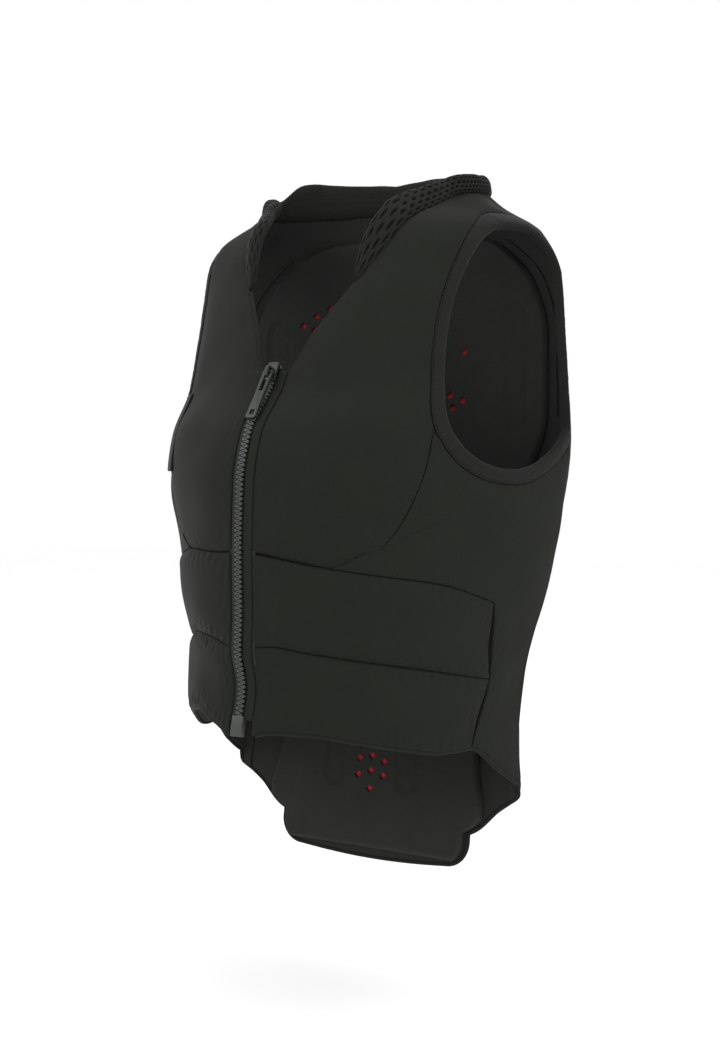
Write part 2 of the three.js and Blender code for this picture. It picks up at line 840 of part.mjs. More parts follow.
const plateFoot = chainWall / 2 + fitGap;
const plateTop = plateFoot + sliderPlate;
const axisRun = 3.2;
const axisLift = plateTop + bridgeRise / 2;

// Two plates round the chain, joined above its first teeth, and the bridge for the puller
function zipSlider() {
  const foot = tapeTop - tapeWall - fitGap;
  const [top, end] = [-sliderBack - sliderNose, sliderLength - sliderBack];
  const [wallTop, wallEnd] = [top + sliderNose * 0.7, -fitGap];
  const above = tapeTop + fitGap;
  const plates = sideProfile([
    [top, foot - sliderPlate], [end, foot - sliderPlate], [end, foot], [wallTop, foot], [wallTop, above],
    [wallEnd, above], [wallEnd, plateFoot], [end, plateFoot], [end, plateTop], [top, plateTop],
  ], null, sliderWidth);
  const reach = bridgeRise / 2;
  const [root, crown] = [plateTop - fitGap / 2, plateTop + bridgeRise];
  const [front, behind] = [axisRun - reach, axisRun + reach];
  const arch = sideProfile([
    [front - bridgeWall, root], [behind + bridgeWall + bridgeSlope, root], [behind + bridgeWall, crown],
    [axisRun, crown + bridgeWall], [front - bridgeWall, crown],
  ], [
    [front, plateTop + fitGap], [front, crown - fitGap],
    [behind, crown - fitGap], [behind + bridgeSlope, plateTop + fitGap],
  ], bridgeWidth);
  return geometryOf(plates.add(arch));
}

// The puller lies from its axis down to the chain that it rests on
function pullerFrame() {
  const axis = new THREE.Vector3(0, axisRun, axisLift).applyMatrix4(zipFrame(0, 0));
  const tipAt = (lift) => zipPoint(axisRun + pullerLength, 0, lift);
  const clears = (tip) => Array.from({ length: 9 }, (_, k) => k / 8).every((way) => {
    const chain = zipPoint(axisRun + pullerLength * way, 0, chainWall / 2);
    const out = outward(0, chain.z);
    return axis.clone().lerp(tip, way).sub(chain).dot(out) > pullerWall / 2 + pullerGap;
  });
  let lift = chainWall / 2;
  while (!clears(tipAt(lift)) && lift < pullerLength) lift += fitGap / 2;
  return frameOf(axis, tipAt(lift).sub(axis).normalize());
}

function zipPuller() {
  const half = pullerWidth / 2;
  const waist = half * pullerWaist;
  const corner = pullerCorner;
  const [top, middle, end] = [-pullerBar / 2, pullerLength * 0.55, pullerLength - pullerBar / 2];
  const rim = [
    [half - corner, top], [half, top + corner], [waist, middle], [half, end - corner], [half - corner, end],
  ];
  const outline = [...rim, ...rim.map(([x, y]) => [-x, y]).reverse()];
  const shape = new THREE.Shape(outline.map(([x, y]) => new THREE.Vector2(x, y)));
  const hole = (width, from, to) => [
    [-width / 2, from], [width / 2, from], [width / 2, to], [-width / 2, to],
  ];
  const slot = hole(slotWidth, pullerBar / 2, slotLength);
  const window = hole(windowSize, end - windowFoot - windowSize, end - windowFoot);
  for (const path of [slot, window]) {
    shape.holes.push(new THREE.Path(path.map(([x, y]) => new THREE.Vector2(x, y))));
  }
  const geometry = new THREE.ExtrudeGeometry(shape, { depth: pullerWall, bevelEnabled: false });
  geometry.translate(0, 0, -pullerWall / 2);
  return geometry;
}

function zipStop(side) {
  const top = -sliderBack + fitGap;
  const inner = side * (sliderWidth / 2 + fitGap);
  return zipStrip(
    1, top, top + stopSize, inner, inner + side * stopWall, tapeTop + fitGap, tapeTop + stopSize,
  );
}

function zipBox() {
  const top = chainRun + fitGap;
  return zipStrip(
    4, top, top + boxLength, -boxHalf, boxHalf, tapeTop - tapeWall - boxRise, chainWall / 2 + boxRise,
  );
}

// A flat tab on the wearer's right side, below the armhole
function sideTab() {
  const sweep = tabWidth / (halfChest * degree);
  const net = Array.from({ length: 6 }, (_, row) => {
    const height = -tabDrop - (tabLength * row) / 5;
    const half = (sweep / 2) * mix(0.6, 1, row / 5);
    return [-1, 0, 1].map((side) => [360 - tabTurn + side * half, height]);
  });
  const lift = chestRise - seamSink + fitGap;
  return slab(net, (u, v) => lift + mix(1, tabWall, v), () => lift);
}

// Finishes, as the real ones look
const finishes = {
  softshell: { color: 0x2a2c29, roughness: 0.85, metalness: 0 },
  lining: { color: 0x242523, roughness: 0.95, metalness: 0 },
  foam: { color: 0x1e1f1e, roughness: 0.95, metalness: 0 },
  mesh: { color: 0x30322f, roughness: 0.9, metalness: 0 },
  binding: { color: 0x262825, roughness: 0.95, metalness: 0 },
  red: { color: 0xa02830, roughness: 0.8, metalness: 0 },
  tape: { color: 0x3a3d3a, roughness: 0.9, metalness: 0 },
  plastic: { color: 0x6e7370, roughness: 0.45, metalness: 0 },
  metal: { color: 0x8a8f8c, roughness: 0.35, metalness: 0.9 },
};
const materials = Object.fromEntries(
  Object.entries(finishes).map(([name, look]) => [name, new THREE.MeshStandardMaterial(look)]),
);

const vest = new THREE.Group();

function add(name, geometry, finish) {
  const mesh = new THREE.Mesh(geometry, materials[finish]);
  mesh.name = name;
  vest.add(mesh);
  return mesh;
}

// A piece for the wearer's right side, as the mirror image of the left one
function flipped(geometry) {
  const twin = geometry.clone();
  twin.scale(-1, 1, 1);
  const index = Array.from(twin.index.array);
  for (let k = 0; k < index.length; k += 3) [index[k], index[k + 1]] = [index[k + 1], index[k]];
  twin.setIndex(index);
  return twin;
}

const sides = [
  ['left', tapeLeft, (geometry) => geometry],
  ['right', tapeRight, flipped],
];
for (const [side, tape, turned] of sides) {
  add(`chest_panel_${side}`, turned(chestPanel(tape)), 'softshell');
  add(`waist_band_${side}`, turned(band(tape, seamOne, seamTwo, 0, 0.5)), 'softshell');
  add(`hem_band_${side}`, turned(band(tape, seamTwo, hemHeight, 0.5, 1)), 'softshell');
  add(`side_panel_${side}`, turned(sidePanel()), 'softshell');
  add(`armhole_binding_${side}`, turned(armholeBinding()), 'binding');
  add(`neck_piping_${side}`, turned(neckPiping(tape)), 'binding');
  add(`front_hem_piping_${side}`, turned(frontHemPiping(tape)), 'binding');
}
add('back_panel', backPanel(), 'softshell');
add('back_pad', backPad(), 'foam');
add('pad_lining', padLining(), 'lining');
add('red_layer', redLayer(), 'red');
add('tail_piping', tailPiping(), 'binding');
add('collar', collar(), 'mesh');
add('side_tab', sideTab(), 'binding');
add('zip_tape_left', zipTape(1, tapeLeft), 'tape');
add('zip_tape_right', zipTape(-1, tapeRight), 'tape');
add('zip_teeth_left', zipTeeth(1), 'plastic');
add('zip_teeth_right', zipTeeth(-1), 'plastic');
add('zip_stop_left', zipStop(1), 'plastic');
add('zip_stop_right', zipStop(-1), 'plastic');
add('zip_box', zipBox(), 'plastic');
add('zip_slider', zipSlider(), 'metal').applyMatrix4(zipFrame(0, 0));
add('zip_puller', zipPuller(), 'metal').applyMatrix4(pullerFrame());

export default vest;
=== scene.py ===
"""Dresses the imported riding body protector: quilted softshell, pierced back pad, mesh collar and zip.

Lengths in the pattern of the vest are in millimetres, as in the part's source. Pieces are made in metres.
A place on the vest is a turn and a height: the turn runs in degrees from the front middle, over the
wearer's left side (90), to the back middle (180).
"""

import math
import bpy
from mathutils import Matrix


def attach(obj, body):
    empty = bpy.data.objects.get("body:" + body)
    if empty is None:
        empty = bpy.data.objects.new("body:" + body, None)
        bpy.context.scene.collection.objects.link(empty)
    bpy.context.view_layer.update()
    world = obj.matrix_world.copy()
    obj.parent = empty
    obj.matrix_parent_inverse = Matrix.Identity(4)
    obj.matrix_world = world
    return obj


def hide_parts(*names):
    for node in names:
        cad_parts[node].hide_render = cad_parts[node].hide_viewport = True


bl_info = {
    "name": "Riding body protector",
    "version": (1, 0, 0),
    "blender": (4, 5, 0),
    "location": "View3D > Sidebar > Vest",
    "description": "Dresses the frame of a riding body protector in cloth, mesh and zip parts",
    "category": "Object",
}

import bmesh
import bpy
import numpy as np
from bpy.props import FloatProperty, FloatVectorProperty, PointerProperty
from mathutils import Matrix, Vector

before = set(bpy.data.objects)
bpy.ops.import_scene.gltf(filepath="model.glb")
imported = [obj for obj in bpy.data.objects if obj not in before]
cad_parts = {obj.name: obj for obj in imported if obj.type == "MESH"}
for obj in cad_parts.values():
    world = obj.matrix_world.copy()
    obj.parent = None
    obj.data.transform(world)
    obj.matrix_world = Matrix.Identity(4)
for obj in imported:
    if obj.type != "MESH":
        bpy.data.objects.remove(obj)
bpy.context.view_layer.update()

MM = 0.001
DEGREE = math.pi / 180

# Sizes of the pattern, in millimetres, as in the part's source
HALF_CHEST = 186
FRONT_REACH = 190
BACK_REACH = 42
BODY_HEIGHT = 440
TAIL_DROP = 125
TAIL_HALF = 97
TAIL_CORNER = 20
TAIL_SAG = 4
PANEL_WALL = 4
SHELL_WALL = 3
BAND_FILL = 8
BAND_RUN = 240
SOFT_PUCKER = 0.15
SEAM_SINK = 1
PAD_WALL = 12
PAD_EDGE = 6
PAD_TOP = 22
PAD_INSET = 3
FOAM_TOP = -4
LINING_WALL = 1.4
RED_WALL = 1
LAYER_GAP = 0.4
CHANNEL_WIDTH = 22
CHANNEL_LENGTH = 76
CHANNEL_INSET = 38
CHANNEL_FOOT = 510
SHOULDER_CHANNEL_WIDTH = 24
SHOULDER_CHANNEL_LENGTH = 109
SHOULDER_CHANNEL_INSET = 127
SHOULDER_CHANNEL_FOOT = 200
WELT_STAND = 11
WELT_FOOT = 185
WELT_RADIUS = 0.9
TAB_TURN = 40
TAB_DROP = 164
TAB_LENGTH = 66
TAB_WIDTH = 24
TAB_WALL = 3
NECK_DEPTH = 150
SHOULDER_SEAM_TURN = 106
TONGUE_TURN = 25
PAD_SIDE_TURN = 72
PAD_SIDE_BOW = 4.5
BACK_SEAM_TURN = 120
ARMHOLE_TURN = 72.2
ARMHOLE_DROP = 130
ARMHOLE_HALF_TURN = 28.9
ARMHOLE_REACH = 110
SHOULDER_SEAM_ANGLE = 49
CHEST_SEAM_ANGLE = 214
BACK_SEAM_ANGLE = 337
PANEL_EASE = 1.2
BINDING_WIDTH = 11
BINDING_RUN = 560
BINDING_GIRTH = 26
BINDING_LIFT = -2.9
BINDING_HALF = 4
COLLAR_TURN = 18
COLLAR_HEIGHT = 27
COLLAR_WALL = 11
COLLAR_LEAN = 0.5
COLLAR_END = 11
RIGHT_RISE = 13
HOLE_LONG = 0.3
HOLE_HIGH = 0.28
BIG_HOLES = (1.35, 0.9)
SMALL_HOLES = (0.55, 0.4)
EDGE_RADIUS = 1.9
TAPE_LEFT = 13.5
TAPE_RIGHT = 8.5
TAPE_GAP = 0.3
TAPE_LIFT = -2.3
TAPE_WALL = 0.9
CHAIN_HALF = 3.4
CHAIN_STOP = 19
ZIP_OVERHANG = 3
CHAIN_WALL = 2.8

# The camera, found from the photo: lengths in metres, turns in degrees, lens and sensor in millimetres
CAMERA_AIM = (-0.0032, -0.0202, -0.277)
CAMERA_DISTANCE = 1.372
CAMERA_TURN = 35
CAMERA_RISE = 1.7
LENS = 53.95
SENSOR = 36
# Height of the floor, in metres
FLOOR = -0.66

# drop | half width | front | back | widest place | roundness of the front | and of the back
SECTIONS = (
    (-0.07, 0.534, 0.232, 0.776, -0.143, 2.1, 2.0), (0.0, 0.619, 0.216, 0.869, -0.143, 2.2, 2.0),
    (0.023, 0.670, 0.301, 0.931, -0.048, 2.35, 2.1), (0.077, 0.855, 0.454, 1.012, 0.143, 2.4, 2.2),
    (0.159, 0.946, 0.577, 1.076, 0.143, 2.1, 2.3), (0.273, 0.965, 0.702, 1.05, 0.143, 1.94, 2.4),
    (0.364, 0.981, 0.786, 0.952, 0.143, 1.88, 2.6), (0.455, 1.001, 0.939, 0.857, 0.119, 1.82, 2.7),
    (0.545, 0.984, 0.991, 0.762, 0.095, 1.82, 2.8), (0.682, 0.93, 1.003, 0.662, 0.05, 1.74, 2.8),
    (0.773, 0.878, 0.999, 0.614, 0.0, 1.75, 2.8), (0.841, 0.833, 1.006, 0.55, -0.05, 1.68, 2.8),
    (0.909, 0.798, 0.978, 0.48, -0.095, 1.8, 2.8), (1.0, 0.777, 1.016, 0.42, -0.12, 1.84, 2.8),
    (1.136, 0.802, 0.976, 0.131, -0.19, 1.84, 2.8), (1.41, 0.763, 0.946, -0.289, -0.575, 1.8, 2.8),
)
# turn | share of the neck's depth, or of the body's height for the seams and the hem
NECKLINE = (
    (0, 1.0), (4.2, 1.0), (9.5, 0.799), (17, 0.555), (23, 0.363), (30.2, 0.177),
    (42, 0.088), (58, 0.01), (90, 0), (180, 0),
)
WAIST_SEAM = ((0, 0.666), (10, 0.677), (20, 0.69), (36, 0.706), (55, 0.725), (74, 0.766), (90, 0.8))
BAND_SEAM = ((0, 0.843), (10, 0.834), (20, 0.844), (36, 0.86), (55, 0.879), (74, 0.902), (90, 0.92))
HEMLINE = (
    (0, 1.001), (12, 0.984), (24, 0.987), (38, 1.002), (52, 1.019), (62, 1.029), (72, 1.027),
    (82, 1.075), (92, 1.114), (101.6, 1.128), (120, 1.147), (130, 1.168), (141, 1.214), (160, 1.255),
)
# share of the way down | share of the way forward
CHEST_SEAM = ((0, 1), (0.25, 0.985), (0.5, 0.89), (0.75, 0.71), (0.9, 0.48), (0.97, 0.19), (1, 0))
# turn | share of the collar's height
COLLAR_CREST = (
    (18, 0.56), (30, 0.65), (50, 0.63), (75, 0.63), (100, 0.82), (130, 1.19), (155, 1.04), (180, 0.89),
)
# Where the photo's collar dips or swells: turn | width of it in degrees | share of the collar's height
COLLAR_HUMPS = ((124, 32, -0.36), (254, 14, -0.25), (26, 22, 0.3))
# drop | half width of the pad
PAD_OUTLINE = (
    (0.05, 0.36), (0.062, 0.48), (0.086, 0.60), (0.16, 0.77), (0.26, 0.85), (0.42, 0.85),
    (0.51, 0.79), (0.6, 0.70), (0.7, 0.645), (0.9, 0.585), (1.06, 0.555), (1.17, 0.6),
)
# way to the wearer's left | drop
DIAMONDS = (
    (-0.535, 0.216), (-0.46, 0.198), (-0.38, 0.184), (-0.471, 0.227),
    (0.396, 0.288), (0.26, 0.273), (0.18, 0.259), (0.25, 0.302),
    (0.332, 0.373), (0.402, 0.384), (0.348, 0.398), (-0.332, 0.373), (-0.402, 0.384), (-0.348, 0.398),
    (-0.07, 1.07), (0.07, 1.07), (0, 1.091), (-0.07, 1.098), (0.07, 1.1), (0, 1.12),
    (-0.07, 1.13), (0.07, 1.127), (0, 1.155), (-0.07, 1.04), (0, 1.057), (0.07, 1.04),
)


def mix(a, b, t):
    return a + (b - a) * t


def follow(rows, at, column=1):
    """A smooth curve through the rows of a table that doesn't overshoot them."""
    table = np.array(rows, float)
    x, y = table[:, 0], table[:, column]
    steep = np.diff(y) / np.diff(x)
    slope = np.zeros_like(y)
    slope[0], slope[-1] = steep[0], steep[-1]
    product = steep[:-1] * steep[1:]
    total = np.where(product > 0, steep[:-1] + steep[1:], 1)
    slope[1:-1] = np.where(product > 0, 2 * product / total, 0)
    at = np.clip(at, x[0], x[-1])
    row = np.clip(np.searchsorted(x, at) - 1, 0, len(x) - 2)
    span = x[row + 1] - x[row]
    t = (at - x[row]) / span
    rest = 1 - t
    return (
        y[row] * rest * rest * (1 + 2 * t)
        + y[row + 1] * t * t * (3 - 2 * t)
        + slope[row] * span * t * rest * rest
        - slope[row + 1] * span * t * t * rest
    )


def skin(turn, height):
    """Points of the vest's outer surface."""
    turn, height = np.broadcast_arrays(np.asarray(turn, float), np.asarray(height, float))
    drop = -height / BODY_HEIGHT
    sine, cosine = np.sin(turn * DEGREE), np.cos(turn * DEGREE)
    ahead = cosine >= 0
    middle = follow(SECTIONS, drop, 4) * BACK_REACH
    front = follow(SECTIONS, drop, 2) * FRONT_REACH + middle
    behind = follow(SECTIONS, drop, 3) * BACK_REACH - middle
    power = np.where(ahead, follow(SECTIONS, drop, 5), follow(SECTIONS, drop, 6))
    reach = (np.abs(sine) ** power + np.abs(cosine) ** power) ** (-1 / power)
    depth = np.where(ahead, front, behind)
    side = follow(SECTIONS, drop, 1) * HALF_CHEST * sine * reach
    return np.stack([side, middle - depth * cosine * reach, height], -1)


def unit(vectors):
    return vectors / np.maximum(np.linalg.norm(vectors, axis=-1, keepdims=True), 1e-9)


def outward(turn, height):
    """The surface's direction outward."""
    turn_step, height_step = 1, 2
    across = skin(turn + turn_step, height) - skin(turn - turn_step, height)
    rise = skin(turn, height + height_step) - skin(turn, height - height_step)
    return unit(np.cross(across, rise))


def place(turn, height, lift=0.0):
    return skin(turn, height) + outward(turn, height) * np.asarray(lift, float)[..., None]


def turn_at(reach, height, behind=False):
    """The turn at which the surface lies a given way from the middle plane."""
    low = np.zeros(np.broadcast(reach, height).shape)
    high = low + 90.0
    for _ in range(24):
        half = (low + high) / 2
        inside = skin(180 - half if behind else half, height)[..., 0] < reach
        low, high = np.where(inside, half, low), np.where(inside, high, half)
    return 180 - low if behind else low


def neck_height(turn):
    return -NECK_DEPTH * follow(NECKLINE, np.where(turn > 180, 360 - turn, turn))


def hem_height(turn):
    return -BODY_HEIGHT * follow(HEMLINE, np.where(turn > 180, 360 - turn, turn))


def waist_seam(turn):
    return -BODY_HEIGHT * follow(WAIST_SEAM, turn)


def band_seam(turn):
    return -BODY_HEIGHT * follow(BAND_SEAM, turn)


def pad_side(way):
    return PAD_SIDE_TURN + PAD_SIDE_BOW * np.sin(math.pi * way)


def armhole_at(angle, grow=0.0):
    """The armhole's edge, at an angle that runs from its back over its top."""
    degree_run = HALF_CHEST * DEGREE
    sine, cosine = np.sin(angle * DEGREE), np.cos(angle * DEGREE)
    back = np.where(sine >= 0, 2.6, 1.75)
    power = np.where(cosine >= 0, back, np.where(sine >= 0, 3, 2.25))
    swing = np.sign(cosine) * np.abs(cosine) ** (2 / power)
    climb = np.sign(sine) * np.abs(sine) ** (2 / power)
    return (
        ARMHOLE_TURN + (ARMHOLE_HALF_TURN + grow / degree_run) * swing,
        -ARMHOLE_DROP + (ARMHOLE_REACH + grow) * climb,
    )


def chest_seam_at(way):
    top_turn, top_height = armhole_at(CHEST_SEAM_ANGLE, PANEL_EASE)
    return (
        mix(TONGUE_TURN, top_turn, follow(CHEST_SEAM, way)),
        mix(top_height, waist_seam(TONGUE_TURN), way),
    )


def back_seam_at(way):
    top_turn, top_height = armhole_at(BACK_SEAM_ANGLE, PANEL_EASE)
    curl = 3.5
    return (
        mix(top_turn, BACK_SEAM_TURN, 1 - (1 - way) ** curl),
        mix(top_height, hem_height(BACK_SEAM_TURN), way),
    )


tail_tip = BODY_HEIGHT + TAIL_DROP
tail_turn = float(turn_at(TAIL_HALF, 2 * TAIL_CORNER - tail_tip, True))


def tail_side_at(way):
    height = mix(hem_height(tail_turn), TAIL_CORNER - tail_tip, way)
    return turn_at(TAIL_HALF, height, True), height


def tail_corner_at(way):
    angle = way * math.pi / 2
    height = TAIL_CORNER - tail_tip - TAIL_CORNER * np.sin(angle)
    return turn_at(TAIL_HALF - TAIL_CORNER * (1 - np.cos(angle)), height, True), height


def tail_foot(way):
    turn, height = tail_corner_at(np.ones_like(way))
    return mix(turn, 180, way), height - TAIL_SAG * way * (2 - way)


def rail(*pieces):
    """One curve over 0 to 1, from pieces that each give a number of steps and a curve."""
    ends = np.cumsum([0] + [steps for steps, _ in pieces])

    def at(way):
        run = np.asarray(way, float) * ends[-1]
        turn, height = np.zeros_like(run), np.zeros_like(run)
        for piece, (steps, curve) in enumerate(pieces):
            local = np.clip((run - ends[piece]) / steps, 0, 1)
            found = curve(local)
            begun = run >= ends[piece]
            turn = np.where(begun, found[0], turn)
            height = np.where(begun, found[1], height)
        return turn, height

    return at


def between(a, b, t):
    return mix(a[0], b[0], t), mix(a[1], b[1], t)


def worn(points, turn, height, side):
    """Points of a piece on the wearer's left or right. The right side hangs higher below the chest."""
    if side < 0:
        forward = follow(((0, 0), (6, 0.1), (28, 1), (44, 1), (70, 0), (180, 0)), turn)
        points[..., 2] += RIGHT_RISE * forward * np.clip((-height - 200) / 80, 0, 1)
        points[..., 0] *= -1
    return points


class Ripples:
    """Soft unevenness of cloth: seeded waves of a given length, added up."""

    def __init__(self, seed, length, count=14, stretch=1.0):
        random = np.random.default_rng(seed)
        angle = random.uniform(0, math.pi, count)
        scale = 2 * math.pi / (length * random.uniform(0.7, 1.7, count))
        self.wave = np.stack([np.cos(angle) * scale * stretch, np.sin(angle) * scale], -1)
        self.phase = random.uniform(0, 2 * math.pi, count)
        self.share = 1 / math.sqrt(count / 2)

    def at(self, x, y):
        total = np.zeros(np.broadcast(x, y).shape)
        for (a, b), phase in zip(self.wave, self.phase):
            total += np.sin(a * x + b * y + phase)
        return total * self.share


def hex_colour(code):
    """An sRGB hex code as linear red, green and blue."""
    values = [int(code[k : k + 2], 16) / 255 for k in (0, 2, 4)]
    return [v / 12.92 if v <= 0.04045 else ((v + 0.055) / 1.055) ** 2.4 for v in values]


def colour_property(name, code, description):
    return FloatVectorProperty(
        name=name, description=description, subtype="COLOR", size=3, min=0, max=1, default=hex_colour(code)
    )


def length_property(name, size, description):
    return FloatProperty(name=name, description=description, default=size * MM, min=0, unit="LENGTH")


class VestSizes(bpy.types.PropertyGroup):
    quilt_rise: length_property("Quilt rise", 4.0, "How far the padded bands swell outward")
    chest_rise: length_property("Chest rise", 1.8, "How far the chest panels swell outward")
    pucker: length_property("Pucker", 0.3, "Depth of the gathers beside the quilting seams")
    unevenness: length_property("Unevenness", 0.5, "Depth of the broad waves in the cloth")
    mesh_pitch: length_property("Mesh pitch", 4.2, "Distance between the holes of the collar's spacer mesh")
    mesh_depth: length_property("Mesh depth", 1.3, "Depth of the holes of the collar's spacer mesh")
    tooth_pitch: length_property("Tooth pitch", 3.8, "Distance between the teeth on one side of the zip")
    stitch_length: length_property("Stitch length", 3.0, "Length of one stitch")
    stitch_width: length_property("Stitch width", 0.55, "Thickness of the sewing thread")
    diamond_side: length_property("Diamond side", 5.0, "Side of a diamond hole in the back pad")


class VestColours(bpy.types.PropertyGroup):
    softshell: colour_property("Softshell", "12150f", "Outer cloth")
    lining: colour_property("Lining", "222421", "Inner cloth")
    spacer_mesh: colour_property("Spacer mesh", "141612", "Padded mesh of the collar")
    # Painted shade: the near-black colour given to the faces in the collar's large holes
    mesh_holes: colour_property("Mesh holes", "050605", "Inner knit seen in the holes of the collar")
    binding: colour_property("Binding", "161815", "Knitted binding and piping")
    red_layer: colour_property("Red layer", "a8232a", "Layer seen through the holes of the pad")
    zip_tape: colour_property("Zip tape", "242823", "Woven tape of the zip")
    zip_plastic: colour_property("Zip plastic", "2c302c", "Moulded teeth, stops and box")
    zip_metal: colour_property("Zip metal", "2a2e2a", "Painted slider and puller")
    thread: colour_property("Thread", "1c1d1c", "Sewing thread")


def add_node(tree, kind, inputs=None, **settings):
    """Adds a shader node, with its settings and with values or links for its inputs."""
    made = tree.nodes.new(kind)
    for name, value in settings.items():
        setattr(made, name, value)
    for name, value in (inputs or {}).items():
        if isinstance(value, bpy.types.NodeSocket):
            tree.links.new(value, made.inputs[name])
        else:
            made.inputs[name].default_value = value
    return made


def new_material(name):
    """A material with no nodes yet, and the tree that it is drawn in."""
    material = bpy.data.materials.new(name)
    material.use_nodes = True
    tree = material.node_tree
    tree.nodes.clear()
    return material, tree


def shade(tree, colour, height, bump, roughness, **more):
    """The surface shader with its bump, linked to the material's output."""
    relief = add_node(tree, "ShaderNodeBump", {"Height": height, "Distance": bump, "Strength": 1.0})
    surface = add_node(
        tree, "ShaderNodeBsdfPrincipled",
        {"Base Color": colour, "Roughness": roughness, "Normal": relief.outputs["Normal"], **more},
    )
    add_node(tree, "ShaderNodeOutputMaterial", {"Surface": surface.outputs["BSDF"]})
    return surface


def varied(tree, colour, coordinate, size, amount):
    """A colour that varies softly over the piece, in patches of a size in metres."""
    patches = add_node(
        tree, "ShaderNodeTexNoise", {"Vector": coordinate, "Scale": 1 / size, "Detail": 3.0, "Roughness": 0.6}
    )
    ramp = add_node(tree, "ShaderNodeValToRGB", {"Fac": patches.outputs["Fac"]})
    for stop, position, share in zip(ramp.color_ramp.elements, (0.35, 0.65), (1 - amount, 1 + amount)):
        stop.position = position
        stop.color = [min(1, part * share) for part in colour] + [1]
    return ramp.outputs["Color"]


def weave_height(tree, coordinate, pitch_u, pitch_v):
    """The relief of crossed yarns, at real pitches in metres along the piece's own map."""
    bands = []
    for pitch, direction in ((pitch_u, "X"), (pitch_v, "Y")):
        wave = add_node(
            tree, "ShaderNodeTexWave",
            {"Vector": coordinate, "Scale": 1 / pitch / 20 * math.pi, "Distortion": 0.6, "Detail": 1.0},
            wave_type="BANDS", bands_direction=direction,
        )
        bands.append(wave.outputs["Fac"])
    both = add_node(tree, "ShaderNodeMath", {0: bands[0], 1: bands[1]}, operation="MULTIPLY")
    return both.outputs[0]


def cloth_material(name, colour, pitch, bump, roughness, sheen, patch, amount):
    """A woven or knitted cloth."""
    material, tree = new_material(name)
    coordinate = add_node(tree, "ShaderNodeTexCoord").outputs["UV"]
    height = weave_height(tree, coordinate, pitch[0] * MM, pitch[1] * MM)
    tone = varied(tree, colour, coordinate, patch * MM, amount)
    shade(
        tree, tone, height, bump * MM, roughness,
        **{"Sheen Weight": sheen, "Sheen Roughness": 0.4, "Specular IOR Level": 0.2},
    )
    return material


def hard_material(name, colour, metallic, roughness, grain, bump):
    """A moulded or cast finish with a fine grain."""
    material, tree = new_material(name)
    coordinate = add_node(tree, "ShaderNodeTexCoord").outputs["Object"]
    texture = add_node(
        tree, "ShaderNodeTexNoise", {"Vector": coordinate, "Scale": 1 / (grain * MM), "Detail": 2.0}
    )
    tone = varied(tree, colour, coordinate, 6 * MM, 0.07)
    shade(tree, tone, texture.outputs["Fac"], bump * MM, roughness, Metallic=metallic)
    return material


# slot | name | pitch across and along | bump | roughness | sheen | size of its patches | their strength
CLOTHS = (
    # Polyester softshell: a tight plain weave with a faint satin sheen
    ("softshell", "Softshell_woven", (0.9, 0.9), 0.05, 0.78, 0.02, 45, 0.06),
    # Warp-knitted polyester lining: finer and duller than the outer cloth
    ("lining", "Lining_tricot", (0.7, 1.1), 0.06, 0.85, 0.02, 30, 0.06),
    # Knitted spacer mesh: soft and dull, its holes are in the mesh itself
    ("spacer_mesh", "Spacer_mesh_knitted", (0.6, 0.6), 0.08, 0.8, 0.04, 12, 0.1),
    # Painted shade: a near-black cloth for the bottom of the mesh's holes, where the inner knit lies in
    # shadow
    ("mesh_holes", "Spacer_mesh_inner_knit", (0.5, 0.5), 0.05, 0.95, 0.0, 12, 0.1),
    # Elastic knitted binding: fine ribs across its width
    ("binding", "Binding_elastic_knit", (1.4, 1.0), 0.14, 0.85, 0.06, 14, 0.1),
    # Red foam cloth behind the holes
    ("red_layer", "Red_foam_cloth", (0.8, 0.8), 0.03, 0.7, 0.05, 10, 0.08),
    # Twill tape of the zip
    ("zip_tape", "Zip_tape_twill", (0.5, 0.9), 0.1, 0.8, 0.06, 10, 0.08),
    # Polyester sewing thread
    ("thread", "Thread_polyester", (0.4, 0.4), 0.03, 0.6, 0.1, 5, 0.08),
)
# slot | name | metallic | roughness | size of its grain | bump
HARD_FINISHES = (
    # Moulded acetal: smooth and slightly glossy, with faint mould grain
    ("zip_plastic", "Acetal_moulded", 0.0, 0.42, 0.6, 0.02),
    # Zinc casting under satin grey paint
    ("zip_metal", "Zinc_painted_satin", 0.35, 0.34, 0.4, 0.015),
)


def make_materials():
    """Every finish of the vest, by the name of its slot."""
    colours = bpy.context.scene.vest_colours
    made = {slot: cloth_material(name, getattr(colours, slot), *looks) for slot, name, *looks in CLOTHS}
    for slot, name, *looks in HARD_FINISHES:
        made[slot] = hard_material(name, getattr(colours, slot), *looks)
    return made


def add_piece(name, mesh, nodes=(), body="vest"):
    """Puts a finished mesh in the scene, on its body, in the place of CAD nodes."""
    piece = bpy.data.objects.new(name, mesh)
    bpy.context.scene.collection.objects.link(piece)
    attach(piece, body)
    if nodes:
        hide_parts(*nodes)
    return piece


def read_points(mesh):
    points = np.empty(len(mesh.vertices) * 3)
    mesh.vertices.foreach_get("co", points)
    return points.reshape(-1, 3)


def write_points(mesh, points):
    mesh.vertices.foreach_set("co", np.ascontiguousarray(points * MM, np.float32).ravel())
    mesh.update()


def write_map(mesh, uv):
    """Gives the mesh its own map, in metres along the cloth."""
    corners = np.empty(len(mesh.loops), np.int32)
    mesh.loops.foreach_get("vertex_index", corners)
    layer = mesh.uv_layers.new(name="UVMap")
    layer.data.foreach_set("uv", np.ascontiguousarray(uv[corners] * MM, np.float32).ravel())


def volume_of(mesh):
    bm = bmesh.new()
    bm.from_mesh(mesh)
    volume = bm.calc_volume(signed=True)
    bm.free()
    return volume


